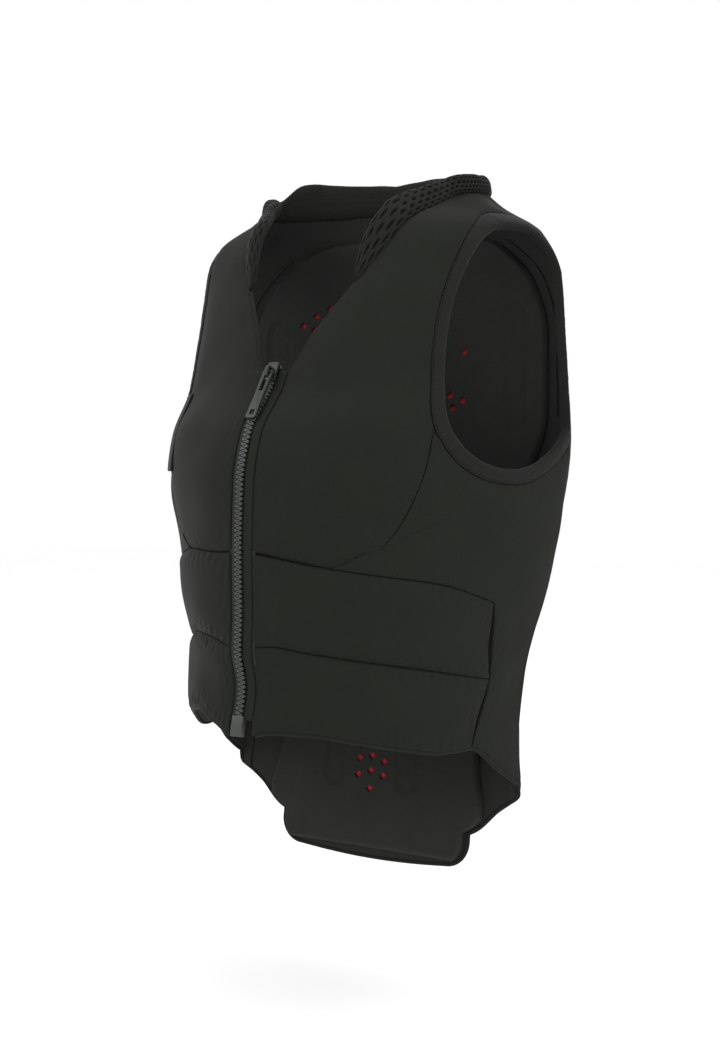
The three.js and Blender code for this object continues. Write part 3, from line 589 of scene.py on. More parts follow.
def finish_shape(mesh, cloths, merge):
    """Closes the seams of the mesh, turns it to face out and smooths it."""
    if merge:
        bm = bmesh.new()
        bm.from_mesh(mesh)
        bmesh.ops.remove_doubles(bm, verts=bm.verts, dist=2e-6)
        bmesh.ops.dissolve_degenerate(bm, edges=bm.edges, dist=1e-7)
        bm.to_mesh(mesh)
        bm.free()
    if volume_of(mesh) < 0:
        mesh.flip_normals()
    mesh.shade_smooth()
    for cloth in cloths:
        mesh.materials.append(cloth)


def crowded(share, amount=0.6):
    """Shares from 0 to 1 that lie closer together near both ends."""
    return mix(share, 0.5 - 0.5 * np.cos(math.pi * share), amount)


def mesh_from(bm, name):
    """The mesh of a finished bmesh, which is freed."""
    mesh = bpy.data.meshes.new(name)
    bm.to_mesh(mesh)
    bm.free()
    return mesh


def unit_grid(columns, rows):
    """A flat grid over 0 to 1 both ways."""
    bm = bmesh.new()
    bmesh.ops.create_grid(bm, x_segments=columns, y_segments=rows, size=0.5)
    bmesh.ops.translate(bm, vec=(0.5, 0.5, 0), verts=bm.verts)
    return bm


def draw_out(bm, faces, way):
    """Draws faces out along a way, to closed solids that face out."""
    grown = bmesh.ops.extrude_face_region(bm, geom=faces, use_keep_orig=True)
    tips = [item for item in grown["geom"] if isinstance(item, bmesh.types.BMVert)]
    bmesh.ops.translate(bm, vec=way, verts=tips)
    bmesh.ops.recalc_face_normals(bm, faces=bm.faces)


def round_edges(bm, edges, radius, segments):
    """Rounds edges to a radius in millimetres."""
    bmesh.ops.bevel(
        bm, geom=edges, offset=radius * MM, segments=segments, affect="EDGES", profile=0.5, material=-1,
        clamp_overlap=True,
    )


def capped(mesh):
    """The mesh with its open ends filled."""
    bm = bmesh.new()
    bm.from_mesh(mesh)
    rims = [edge for edge in bm.edges if edge.is_boundary]
    bmesh.ops.holes_fill(bm, edges=rims, sides=0)
    bmesh.ops.recalc_face_normals(bm, faces=bm.faces)
    bm.to_mesh(mesh)
    bm.free()
    return mesh


def cloth_shell(name, columns, rows, where, upper, lower, cloths, side=1):
    """A closed piece of cloth over a patch of the torso.

    where gives turn, height for shares u, v; upper and lower give the lifts of its two faces.
    """
    bm = unit_grid(columns, rows)
    draw_out(bm, bm.faces[:], (0, 0, -1))
    for face in bm.faces:
        face.material_index = 1 if face.calc_center_median().z < -0.9 else 0
    mesh = mesh_from(bm, name)
    flat = read_points(mesh)
    u, v = crowded(np.clip(flat[:, 0], 0, 1)), crowded(np.clip(flat[:, 1], 0, 1), 0.3)
    turn, height = where(u, v)
    lift = np.where(flat[:, 2] > -0.5, upper(u, v, turn, height), lower(u, v, turn, height))
    points = worn(place(turn, height, lift), turn, height, side)
    write_points(mesh, points)
    write_map(mesh, np.stack([turn * DEGREE * HALF_CHEST, height], -1))
    finish_shape(mesh, cloths, False)
    return mesh


def tube(name, columns, rows, section, cloths, closed=False, crowd=0.0):
    """A closed tube: section gives points and map for shares round it and along it."""
    mesh = mesh_from(unit_grid(columns, rows), name)
    flat = read_points(mesh)
    u, v = np.clip(flat[:, 0], 0, 1), crowded(np.clip(flat[:, 1], 0, 1), crowd)
    u = np.where(u > 0.999999, 0.0, u)
    if closed:
        v = np.where(v > 0.999999, 0.0, v)
    points, uv = section(u, v)
    write_map(mesh, uv(flat[:, 0], flat[:, 1]) if callable(uv) else uv)
    write_points(mesh, points)
    finish_shape(mesh, cloths, True)
    return mesh


def patch_between(first, second, inset=0.1):
    """The place for shares u, v between two rails, drawn in from both by a small gap."""

    def where(u, v):
        a, b = first(v), second(v)
        way = np.linalg.norm(skin(*a) - skin(*b), axis=-1)
        start = np.minimum(inset / np.maximum(way, 1), 0.2)
        return between(a, b, mix(start, 1 - start, u))

    return where


def swell(u, v, power=4):
    return (1 - np.abs(2 * u - 1) ** power) * (1 - np.abs(2 * v - 1) ** power)


def zip_edge(tape, start, end):
    def at(way):
        height = mix(start, end, way)
        return turn_at(tape, height), height

    return at


def edge_line(edge, start, end):
    """The part of an edge between two turns, for shares along it."""

    def at(way):
        turn = mix(start, end, way)
        return turn, edge(turn)

    return at


def arc(start, end, grow=PANEL_EASE):
    return lambda way: armhole_at(mix(start, end, way), grow)


def chest_rails(tape):
    start = float(turn_at(tape, -NECK_DEPTH))
    inner = rail(
        (6, zip_edge(tape, waist_seam(0), -NECK_DEPTH)),
        (4, edge_line(neck_height, start, COLLAR_TURN)),
        (7, lambda way: edge_line(neck_height, COLLAR_TURN, SHOULDER_SEAM_TURN)(way**1.3)),
    )
    outer = rail(
        (5, lambda way: chest_seam_at(1 - way)),
        (12, arc(CHEST_SEAM_ANGLE, SHOULDER_SEAM_ANGLE)),
    )
    return inner, outer


def band_rails(tape, upper, lower, from_way, to_way):
    def line(edge, way):
        def at(share):
            turn = mix(turn_at(tape, edge(0)), pad_side(way), share)
            return turn, edge(turn)

        return at

    return rail((12, line(upper, from_way))), rail((12, line(lower, to_way)))


def side_rails():
    start = mix(CHEST_SEAM_ANGLE, BACK_SEAM_ANGLE, 0.04)

    front = rail(
        (6, lambda way: chest_seam_at(mix(0.04, 1, way))),
        (7, edge_line(waist_seam, TONGUE_TURN, pad_side(0))),
        (14, lambda way: (pad_side(way), mix(waist_seam(PAD_SIDE_TURN), hem_height(pad_side(1)), way))),
    )
    behind = rail(
        (6, arc(start, 270)),
        (7, arc(270, 306)),
        (4, arc(306, BACK_SEAM_ANGLE)),
        (10, back_seam_at),
    )
    return front, behind


def side_where(u, v):
    front, behind = side_rails()
    turn, height = patch_between(front, behind)(u, v)
    bottom = mix(pad_side(1), BACK_SEAM_TURN, u)
    straight = mix(hem_height(pad_side(1)), hem_height(BACK_SEAM_TURN), u)
    return turn, height + (hem_height(bottom) - straight) * v**4


def back_rail():
    return rail(
        (5, lambda way: between((SHOULDER_SEAM_TURN, 0), armhole_at(SHOULDER_SEAM_ANGLE, PANEL_EASE), way)),
        (8, arc(SHOULDER_SEAM_ANGLE, BACK_SEAM_ANGLE - 360)),
        (10, back_seam_at),
        (3, edge_line(hem_height, BACK_SEAM_TURN, tail_turn)),
        (1, tail_side_at),
        (3, tail_corner_at),
    )


def back_where(u, v):
    left = back_rail()(v)
    right = (360 - left[0], left[1])
    way = np.linalg.norm(skin(*left) - skin(*right), axis=-1)
    start = 0.2 / way
    share = mix(start, 1 - start, u)
    turn, height = between(left, right, share)
    corner = np.clip((-height - tail_tip + TAIL_CORNER) / TAIL_CORNER, 0, 1)
    return turn, height - TAIL_SAG * corner * 4 * share * (1 - share)


def hump(distance, width, height):
    return height * np.exp(-((distance / width) ** 2))


def edge_roll(u, v, width, length, radius=1.6):
    """How far a face falls away where it rolls into the seams at its edges."""
    total = 0.0
    for distance in (u * width, (1 - u) * width, v * length, (1 - v) * length):
        near = np.clip(1 - distance / radius, 0, 1)
        total = total + radius * 0.6 * (1 - np.sqrt(1 - near * near))
    return total


def panel_lifts(rise, wall, seed, width, length, pucker, fill=0, thin=0.0):
    """The outer and the inner lift of a panel: swelling, gathers at its seams and broad waves.

    fill is how far it swells inward, and thin how much less it swells towards its foot.
    """
    broad, fine = Ripples(seed, 70), Ripples(seed + 1, 11, stretch=1.6)
    sizes = bpy.context.scene.vest_sizes
    wave = sizes.unevenness / MM

    def upper(u, v, turn, height):
        run = turn * DEGREE * HALF_CHEST
        edge = np.minimum(np.minimum(v, 1 - v) * length, np.minimum(u, 1 - u) * width)
        gather = pucker * fine.at(run, height) * np.exp(-((edge / 12) ** 2)) * np.clip(edge / 2, 0, 1)
        return (
            rise * swell(u, v) * (1 - thin * u * u)
            + gather
            + wave * broad.at(run, height) * np.clip(edge / 25, 0, 1)
            - edge_roll(u, v, width, length)
        )

    def lower(u, v, turn, height):
        return -wall - SEAM_SINK * 0.5 - fill * swell(u, v)

    return upper, lower


def declare_cloth(where):
    """Measures the flat area, width and length that a piece's pattern has on the torso, and keeps none of
    them.
    """
    u, v = np.meshgrid(np.linspace(0, 1, 41), np.linspace(0, 1, 81), indexing="ij")
    points = skin(*where(u, v)) * MM
    across, along = np.diff(points, axis=0), np.diff(points, axis=1)
    area = float(np.linalg.norm(np.cross(across[:, :-1], along[:-1]), axis=-1).sum())
    width = float(np.linalg.norm(across, axis=-1).sum(0).max())
    length = float(np.linalg.norm(along, axis=-1).sum(1).max())
    width = min(max(width, area / length), area / (0.4 * length))


def edge_frame(places, way, lift):
    """For shares along an edge of cloth: the spot, the ways along it and out of it, and the way past it."""
    step = 0.002
    ahead, behind = places(np.clip(way + step, 0, 1)), places(np.clip(way - step, 0, 1))
    along = unit(place(*ahead, lift) - place(*behind, lift))
    turn, height = places(way)
    out = outward(turn, height)
    return place(turn, height, lift), along, out, unit(np.cross(along, out))


def length_of(places, lift=0.0):
    points = place(*places(np.linspace(0, 1, 400)), lift)
    return float(np.linalg.norm(np.diff(points, axis=0), axis=1).sum())


def rounded(value, power):
    """A cosine or sine made squarer, as on a superellipse."""
    return np.sign(value) * np.abs(value) ** (2 / power)


def end_taper(way, length, reach):
    """How full a tube is near its rounded ends."""
    near = np.clip(1 - np.minimum(way, 1 - way) * length / reach, 0, 1)
    return np.sqrt(np.maximum(1 - near * near, 0))


def piping_mesh(name, places, side, lift, radius, cloth, mirror=1):
    """A round cord of cloth that lies against an edge."""
    length = length_of(places, lift)

    def section(u, v):
        spot, along, out, past = edge_frame(places, v, lift)
        size = radius * end_taper(v, length, radius)[:, None]
        angle = 2 * math.pi * u[:, None]
        points = spot + past * side * radius + size * (out * np.cos(angle) + past * np.sin(angle))
        points = worn(points, *places(v), mirror)
        return points, lambda across, along: np.stack([across * 2 * math.pi * radius, along * length], -1)

    return tube(name, 10, max(24, int(length / 2)), section, [cloth], crowd=0.1)


def binding_section(side):
    ribs = Ripples(5, 3.2, stretch=3.0)

    def section(u, v):
        angle = 360 * v
        turn_round = 2 * math.pi * u
        cosine, sine = np.cos(turn_round), np.sin(turn_round)
        middle, half = 0.5 - BINDING_WIDTH / 2, BINDING_WIDTH / 2 + 0.4
        wobble = 0.12 * ribs.at(v * BINDING_RUN, u * BINDING_GIRTH)
        grow = middle + (half + wobble) * rounded(cosine, 3.4)
        lift = BINDING_LIFT + (BINDING_HALF + wobble) * rounded(sine, 3.0)
        points = place(*armhole_at(angle, grow), lift)
        points[:, 0] *= side
        return points, lambda across, along: np.stack([across * BINDING_GIRTH, along * BINDING_RUN], -1)

    return section


def hex_holes(along, across, pitch, shares):
    """1 inside the staggered holes of a spacer mesh, and 0 on its threads."""
    pitch_along, pitch_across = pitch * shares[0], pitch * shares[1]
    row = np.round(across / pitch_across)
    shifted = along / pitch_along + 0.5 * (row % 2)
    from_middle = (shifted - np.round(shifted)) / HOLE_LONG
    from_row = (across / pitch_across - row) / HOLE_HIGH
    inside = 1 - np.sqrt(from_middle**2 + from_row**2)
    return np.clip(inside * 3, 0, 1)


collar_edge = edge_line(neck_height, COLLAR_TURN, 360 - COLLAR_TURN)


def collar_section(u, v):
    sizes = bpy.context.scene.vest_sizes
    pitch, depth = sizes.mesh_pitch / MM, sizes.mesh_depth / MM
    length = length_of(collar_edge, -PANEL_WALL / 2)
    spot, along, out, past = edge_frame(collar_edge, v, -PANEL_WALL / 2)
    rise = unit(past * -(1 - COLLAR_LEAN) + np.array([0, 0, COLLAR_LEAN]))
    over = unit(np.cross(along, rise))
    over = over * np.sign((over * out).sum(-1, keepdims=True))
    girth = 1.7 * COLLAR_HEIGHT + 1.2 * COLLAR_WALL
    turn_round = 2 * math.pi * u
    cosine, sine = np.cos(turn_round), np.sin(turn_round)
    s, p = v * length, u * girth
    outer = np.clip(cosine * 2 + 0.9, 0, 1)
    big = hex_holes(s, p, pitch, BIG_HOLES) * depth
    small = hex_holes(s, p, pitch, SMALL_HOLES) * depth * 0.35
    wave = 0.35 * Ripples(31, 26).at(s, p)
    sunk = mix(small, big, outer) - wave
    turn = collar_edge(v)[0]
    crest = follow(COLLAR_CREST, np.minimum(turn, 360 - turn))
    for middle, width, rise_there in COLLAR_HUMPS:
        crest = crest + hump(turn - middle, width, rise_there)
    thick = end_taper(v, length, COLLAR_END)
    reach = COLLAR_WALL / 2 * thick - sunk * thick
    half = (COLLAR_HEIGHT * crest / 2 + 0.8) * thick
    base = -0.4
    height = base + half + (half - sunk * 0.6 * thick) * rounded(sine, 2.8)
    points = spot + over * (reach * rounded(cosine, 2.4))[:, None] + rise * height[:, None]
    return points, lambda across, along: np.stack([across * girth, along * length], -1)


def paint_hole_shade(mesh):
    """Gives the faces in the collar's large holes the mesh's second material, which is painted shade."""
    pitch = bpy.context.scene.vest_sizes.mesh_pitch / MM
    corners = np.empty(len(mesh.loops) * 2)
    mesh.uv_layers["UVMap"].data.foreach_get("uv", corners)
    across, along = corners.reshape(-1, 2).T / MM
    starts = np.empty(len(mesh.polygons), np.int32)
    mesh.polygons.foreach_get("loop_start", starts)
    girth = across.max()
    outer = np.cos(2 * math.pi * across / girth) > -0.3
    hole = (hex_holes(along, across, pitch, BIG_HOLES) > 0.4) & outer
    inside = np.add.reduceat(hole.astype(int), starts) >= 2
    mesh.polygons.foreach_set("material_index", inside.astype(np.int32))
    mesh.update()


def tail_reach(height):
    """Half the width of the tail at a height, to its outline."""
    low, high = np.full(height.shape, float(BACK_SEAM_TURN)), np.full(height.shape, tail_turn)
    for _ in range(20):
        half = (low + high) / 2
        above = hem_height(half) > height
        low, high = np.where(above, half, low), np.where(above, high, half)
    fall = np.clip(TAIL_CORNER - tail_tip - height, 0, TAIL_CORNER)
    corner = TAIL_HALF - TAIL_CORNER + np.sqrt(np.maximum(TAIL_CORNER**2 - fall**2, 0))
    reach = np.where(height > hem_height(tail_turn), skin(low, height)[..., 0], corner)
    return np.where(height > hem_height(BACK_SEAM_TURN), HALF_CHEST, reach)


def pad_where(inset=0.0):
    def where(u, v):
        height = mix(-PAD_TOP - inset, PAD_INSET - tail_tip + inset, v)
        reach = HALF_CHEST * follow(PAD_OUTLINE, -height / BODY_HEIGHT)
        turn = turn_at(np.minimum(reach, tail_reach(height) - PAD_INSET) - inset, height, True)
        return mix(turn, 360 - turn, u), height

    return where


def welt_line(way):
    """The raised line on the inside of the back, beside the pad."""
    height = mix(-PAD_TOP - 10, -WELT_FOOT, way)
    return turn_at(HALF_CHEST * follow(PAD_OUTLINE, -height / BODY_HEIGHT) + WELT_STAND, height, True), height


def lining_face(u, v):
    full = (1 - np.abs(2 * u - 1) ** 3) * (1 - np.abs(2 * v - 1) ** 8)
    return FOAM_TOP - mix(PAD_EDGE, PAD_WALL, full)


def oblong_distance(x, z, middle, foot, width, length):
    """The way from the outline of an upright oblong with round ends, negative inside it."""
    half = width / 2
    low, high = foot + half, foot + length - half
    return np.hypot(x - middle, z - np.clip(z, low, high)) - half


def pad_relief(turn, height):
    """How far the lining sinks at the stitched channels and at the seam inside its edge."""
    x = skin(turn, height)[..., 0]
    sunk = np.zeros_like(x)
    for width, length, inset, foot in (
        (CHANNEL_WIDTH, CHANNEL_LENGTH, CHANNEL_INSET, CHANNEL_FOOT),
        (SHOULDER_CHANNEL_WIDTH, SHOULDER_CHANNEL_LENGTH, SHOULDER_CHANNEL_INSET, SHOULDER_CHANNEL_FOOT),
    ):
        for side in (-1, 1):
            gap = oblong_distance(x, height, side * inset, -foot, width, length)
            sunk += hump(gap, 1.1, 1.2) + hump(gap + 3.2, 0.9, 0.7) + 0.8 * np.clip(-gap / 3, 0, 1)
    return sunk


def prisms(shapes, low, high):
    """Upright diamonds drawn through along Y, as one closed mesh."""
    bm = bmesh.new()
    for x, z, half in shapes:
        made = bmesh.ops.create_circle(bm, cap_ends=True, segments=4, radius=half)
        turned = Matrix.Translation((x, low, z)) @ Matrix.Rotation(math.pi / 2, 4, "X")
        bmesh.ops.transform(bm, matrix=turned, verts=made["verts"])
        draw_out(bm, [made["verts"][0].link_faces[0]], (0, high - low, 0))
    return mesh_from(bm, "cutter")


def cut_away(mesh, cutter):
    """The mesh with the cutter's room taken out of it."""
    scene = bpy.context.scene
    body, knife = bpy.data.objects.new("body", mesh), bpy.data.objects.new("knife", cutter)
    for item in (body, knife):
        scene.collection.objects.link(item)
    cut = body.modifiers.new("cut", "BOOLEAN")
    cut.object, cut.operation, cut.solver = knife, "DIFFERENCE", "EXACT"
    bpy.context.view_layer.update()
    result = bpy.data.meshes.new_from_object(body.evaluated_get(bpy.context.evaluated_depsgraph_get()))
    for item in (body, knife):
        bpy.data.objects.remove(item)
    return result


class ZipLine:
    """The zip's line down the front, measured by its own length."""

    def __init__(self):
        heights = np.linspace(-NECK_DEPTH, hem_height(np.array(0.0)) - ZIP_OVERHANG, 400)
        points = skin(0.0, heights)
        steps = np.linalg.norm(np.diff(points, axis=0), axis=1)
        self.run = np.concatenate([[0], np.cumsum(steps)])
        self.height = heights
        self.length = float(self.run[-1])
        self.first = (heights[1] - heights[0]) / steps[0]

    def at(self, run, side, lift):
        run = np.asarray(run, float)
        height = np.interp(run, self.run, self.height)
        height = np.where(run < 0, self.height[0] + run * self.first, height)
        height = np.where(run > self.length, self.height[-1] - (run - self.length), height)
        points = place(np.zeros_like(height), height, lift)
        points[..., 0] += side
        return points

    def frame(self, run):
        """The place and turn on the chain: X to the wearer's right, Y down the zip and Z out of it."""
        ends = self.at(np.array([run - 1, run + 1, run]), 0.0, 0.0)
        down = Vector(unit(ends[1] - ends[0]))
        side = Vector((-1, 0, 0))
        out = side.cross(down)
        turned = Matrix((side, down, out)).transposed().to_4x4()
        return Matrix.Translation(Vector(ends[2]) * MM) @ turned


def zip_strip(line, side, inner, outer, lift, wall, reach):
    """The section of a strip beside the zip, from an inner to an outer way from its middle."""
    middle, half = (inner + outer) / 2, (outer - inner) / 2

    def section(u, v):
        turn_round = 2 * math.pi * u
        across = side * (middle + half * rounded(np.cos(turn_round), 5))
        rise = lift + wall / 2 * rounded(np.sin(turn_round), 2.6)
        return line.at(v * reach, across, rise), lambda a, b: np.stack([a * 4 * half, b * reach], -1)

    return section


def tooth_mesh():
    """One moulded tooth in metres: X from its back to its head, Y along the zip, Z up."""
    half_y = ((-CHAIN_HALF, 1.15), (-1.6, 1.25), (-0.9, 0.62), (0.2, 0.72), (1.1, 0.92), (1.5, 0.6))
    bm = bmesh.new()
    foot = -CHAIN_WALL / 2 * MM
    corners = [bm.verts.new((x * MM, -y * MM, foot)) for x, y in half_y]
    corners += [bm.verts.new((x * MM, y * MM, foot)) for x, y in reversed(half_y)]
    draw_out(bm, [bm.faces.new(corners)], (0, 0, CHAIN_WALL * MM))
    rims = [edge for edge in bm.edges if abs(edge.verts[0].co.z - edge.verts[1].co.z) < 1e-9]
    round_edges(bm, rims, 0.32, 2)
    return mesh_from(bm, "tooth")


def chain_mesh(name, line, side, material):
    """All the teeth of one side of the zip."""
    pitch = bpy.context.scene.vest_sizes.tooth_pitch / MM
    tooth = tooth_mesh()
    bm = bmesh.new()
    count = int((line.length - CHAIN_STOP - 2) / pitch)
    for k in range(count):
        run = (k + (0.5 if side > 0 else 0)) * pitch + 2
        before = len(bm.verts)
        bm.from_mesh(tooth)
        bm.verts.ensure_lookup_table()
        placed = line.frame(run) @ Matrix.Scale(side, 4, (1, 0, 0))
        bmesh.ops.transform(bm, matrix=placed, verts=bm.verts[before:])
    bmesh.ops.recalc_face_normals(bm, faces=bm.faces)
    mesh = mesh_from(bm, name)
    mesh.materials.append(material)
    return mesh


def refined(name, node, radius, slot, body="vest"):
    """A copy of a hard CAD piece with its edges rounded."""
    bm = bmesh.new()
    bm.from_mesh(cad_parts[node].data)
    bmesh.ops.remove_doubles(bm, verts=bm.verts, dist=1e-6)
    bmesh.ops.dissolve_limit(bm, angle_limit=2 * DEGREE, verts=bm.verts, edges=bm.edges)
    sharp = [edge for edge in bm.edges if edge.is_manifold and edge.calc_face_angle() > 25 * DEGREE]
    round_edges(bm, sharp, radius, 3)
    mesh = mesh_from(bm, name)
    mesh.materials.clear()
    mesh.materials.append(materials[slot])
    mesh.shade_smooth()
    return add_piece(name, mesh, [node], body)


def stitch_mesh(name, rows, material):
    """Rows of stitches. Each row is the points and the outward ways along a seam, in millimetres."""
    sizes = bpy.context.scene.vest_sizes
    length, width = sizes.stitch_length / MM, sizes.stitch_width / MM
    bm = bmesh.new()
    for points, outs in rows:
        steps = np.linalg.norm(np.diff(points, axis=0), axis=1)
        run = np.concatenate([[0], np.cumsum(steps)])
        count = max(1, int(run[-1] / length))
        pitch = run[-1] / count
        for k in range(count):
            ends = [(k + 0.12) * pitch, (k + 0.5) * pitch, (k + 0.88) * pitch]
            tips = [Vector([np.interp(e, run, points[:, axis]) for axis in range(3)]) for e in ends]
            out = Vector([np.interp(ends[1], run, outs[:, axis]) for axis in range(3)]).normalized()
            along = (tips[2] - tips[0]).normalized()
            side = along.cross(out).normalized()
            made = bmesh.ops.create_cube(bm, size=1)["verts"]
            reach = (tips[2] - tips[0]).length
            turned = Matrix((along * reach * MM, side * width * MM, out * width * 0.8 * MM)).transposed()
            middle = (tips[1] + out * width * 0.2) * MM
            for vert in made:
                taper = 0.55 if abs(vert.co.x) > 0.4 else 1
                sunk = -0.35 if abs(vert.co.x) > 0.4 else 0
                vert.co = middle + turned @ Vector((vert.co.x, vert.co.y * taper, vert.co.z * taper + sunk))
    bmesh.ops.recalc_face_normals(bm, faces=bm.faces)
    mesh = mesh_from(bm, name)
    mesh.materials.append(material)
    return mesh


def seam_row(places, lift, mirror=1, count=300):
    """The points and the outward ways along a seam on the torso."""
    turn, height = places(np.linspace(0, 1, count))
    points, outs = place(turn, height, lift), outward(turn, height)
    points[:, 0] *= mirror
    outs[:, 0] *= mirror
    return points, outs


class VEST_OT_chest_panels(bpy.types.Operator):
    """Make the two chest panels of softshell"""

    bl_idname = "vest.chest_panels"
    bl_label = "Chest panels"

    def execute(self, context):
        sizes = context.scene.vest_sizes
        cloths = [materials["softshell"], materials["lining"]]
        for side, tape, name, seed in ((1, TAPE_LEFT, "left", 10), (-1, TAPE_RIGHT, "right", 20)):
            lifts = panel_lifts(
                sizes.chest_rise / MM, PANEL_WALL, seed, width=150, length=420, pucker=SOFT_PUCKER
            )
            where = patch_between(*chest_rails(tape))
            mesh = cloth_shell(f"chest_cloth_{name}", 70, 150, where, *lifts, cloths, side)
            piece = add_piece(f"chest_cloth_{name}", mesh, [f"chest_panel_{name}"])
            declare_cloth(where)
        return {"FINISHED"}


class VEST_OT_bands(bpy.types.Operator):
    """Make the four padded bands round the waist"""

    bl_idname = "vest.bands"
    bl_label = "Padded bands"

    def execute(self, context):
        sizes = context.scene.vest_sizes
        cloths = [materials["softshell"], materials["lining"]]
        # node | upper edge | lower edge | where each meets the side | width | seed | thinning at the foot
        rows = (
            ("waist_band", waist_seam, band_seam, 0, 0.5, 75, 30, 0),
            ("hem_band", band_seam, hem_height, 0.5, 1, 65, 50, 0.6),
        )
        for side, tape, name in ((1, TAPE_LEFT, "left"), (-1, TAPE_RIGHT, "right")):
            for node, top, bottom, start, end, width, seed, thin in rows:
                lifts = panel_lifts(
                    sizes.quilt_rise / MM, PANEL_WALL, seed + side, width, BAND_RUN, sizes.pucker / MM,
                    fill=BAND_FILL, thin=thin,
                )
                mesh = cloth_shell(
                    f"{node}_cloth_{name}", 44, 130,
                    patch_between(*band_rails(tape, top, bottom, start, end)), *lifts, cloths, side,
                )
                piece = add_piece(f"{node}_cloth_{name}", mesh, [f"{node}_{name}"])
        return {"FINISHED"}


class VEST_OT_side_panels(bpy.types.Operator):
    """Make the side panels below the armholes"""

    bl_idname = "vest.side_panels"
    bl_label = "Side panels"

    def execute(self, context):
        cloths = [materials["softshell"], materials["lining"]]
        for side, name, seed in ((1, "left", 70), (-1, "right", 80)):
            lifts = panel_lifts(0.6, PANEL_WALL, seed, width=120, length=320, pucker=SOFT_PUCKER)
            mesh = cloth_shell(f"side_cloth_{name}", 60, 130, side_where, *lifts, cloths, side)
            piece = add_piece(f"side_cloth_{name}", mesh, [f"side_panel_{name}"])
            declare_cloth(side_where)
        return {"FINISHED"}


class VEST_OT_back_panel(bpy.types.Operator):
    """Make the back with its tail"""

    bl_idname = "vest.back_panel"
    bl_label = "Back panel"

    def execute(self, context):
        lifts = panel_lifts(0.5, SHELL_WALL - 0.5, 90, width=360, length=600, pucker=SOFT_PUCKER)
        cloths = [materials["softshell"], materials["lining"]]
        mesh = cloth_shell("back_cloth", 120, 190, back_where, *lifts, cloths)
        piece = add_piece("back_cloth", mesh, ["back_panel"])
        declare_cloth(back_where)
        return {"FINISHED"}


class VEST_OT_bindings(bpy.types.Operator):
    """Make the knitted bindings round the armholes"""

    bl_idname = "vest.bindings"
    bl_label = "Armhole bindings"

    def execute(self, context):
        for side, name in ((1, "left"), (-1, "right")):
            title = f"armhole_knit_{name}"
            mesh = tube(title, 28, 300, binding_section(side), [materials["binding"]], closed=True)
            add_piece(title, mesh, [f"armhole_binding_{name}"])
        return {"FINISHED"}


class VEST_OT_pipings(bpy.types.Operator):
    """Make the cords of cloth along the neck, the hem and the tail"""

    bl_idname = "vest.pipings"
    bl_label = "Pipings"

    def execute(self, context):
        cloth = materials["softshell"]
        for side, tape, name in ((1, TAPE_LEFT, "left"), (-1, TAPE_RIGHT, "right")):
            start = float(turn_at(tape, -NECK_DEPTH))
            title = f"neck_edge_{name}"
            neck = edge_line(neck_height, start, COLLAR_TURN)
            mesh = piping_mesh(title, neck, -0.25, -PANEL_WALL / 2 - 0.2, EDGE_RADIUS, cloth, side)
            add_piece(title, mesh, [f"neck_piping_{name}"])
            first = float(turn_at(tape + 1, -BODY_HEIGHT))
            title = f"front_hem_edge_{name}"
            hem = edge_line(hem_height, first, PAD_SIDE_TURN + 1)
            mesh = piping_mesh(title, hem, 0.3, -PANEL_WALL / 2 - 0.3, EDGE_RADIUS, cloth, side)
            add_piece(title, mesh, [f"front_hem_piping_{name}"])
        half = (
            (8, edge_line(hem_height, PAD_SIDE_TURN, BACK_SEAM_TURN)),
            (5, edge_line(hem_height, BACK_SEAM_TURN, tail_turn)),
            (2, tail_side_at),
            (4, tail_corner_at),
            (4, tail_foot),
        )
        whole = rail(*half)

        def round_tail(way):
            share = np.where(way > 0.5, 1 - way, way) * 2
            turn, height = whole(share)
            return np.where(way > 0.5, 360 - turn, turn), height

        mesh = piping_mesh("tail_edge", round_tail, 0.3, -SHELL_WALL / 2 - 0.4, EDGE_RADIUS, cloth)
        add_piece("tail_edge", mesh, ["tail_piping"])
        return {"FINISHED"}


class VEST_OT_collar(bpy.types.Operator):
    """Make the padded collar of spacer mesh"""

    bl_idname = "vest.collar"
    bl_label = "Collar"

    def execute(self, context):
        # The second cloth is painted shade, for the faces in the mesh's large holes
        cloths = [materials["spacer_mesh"], materials["mesh_holes"]]
        mesh = tube("collar_mesh", 124, 760, collar_section, cloths)
        paint_hole_shade(mesh)
        piece = add_piece("collar_mesh", mesh, ["collar"])
        return {"FINISHED"}


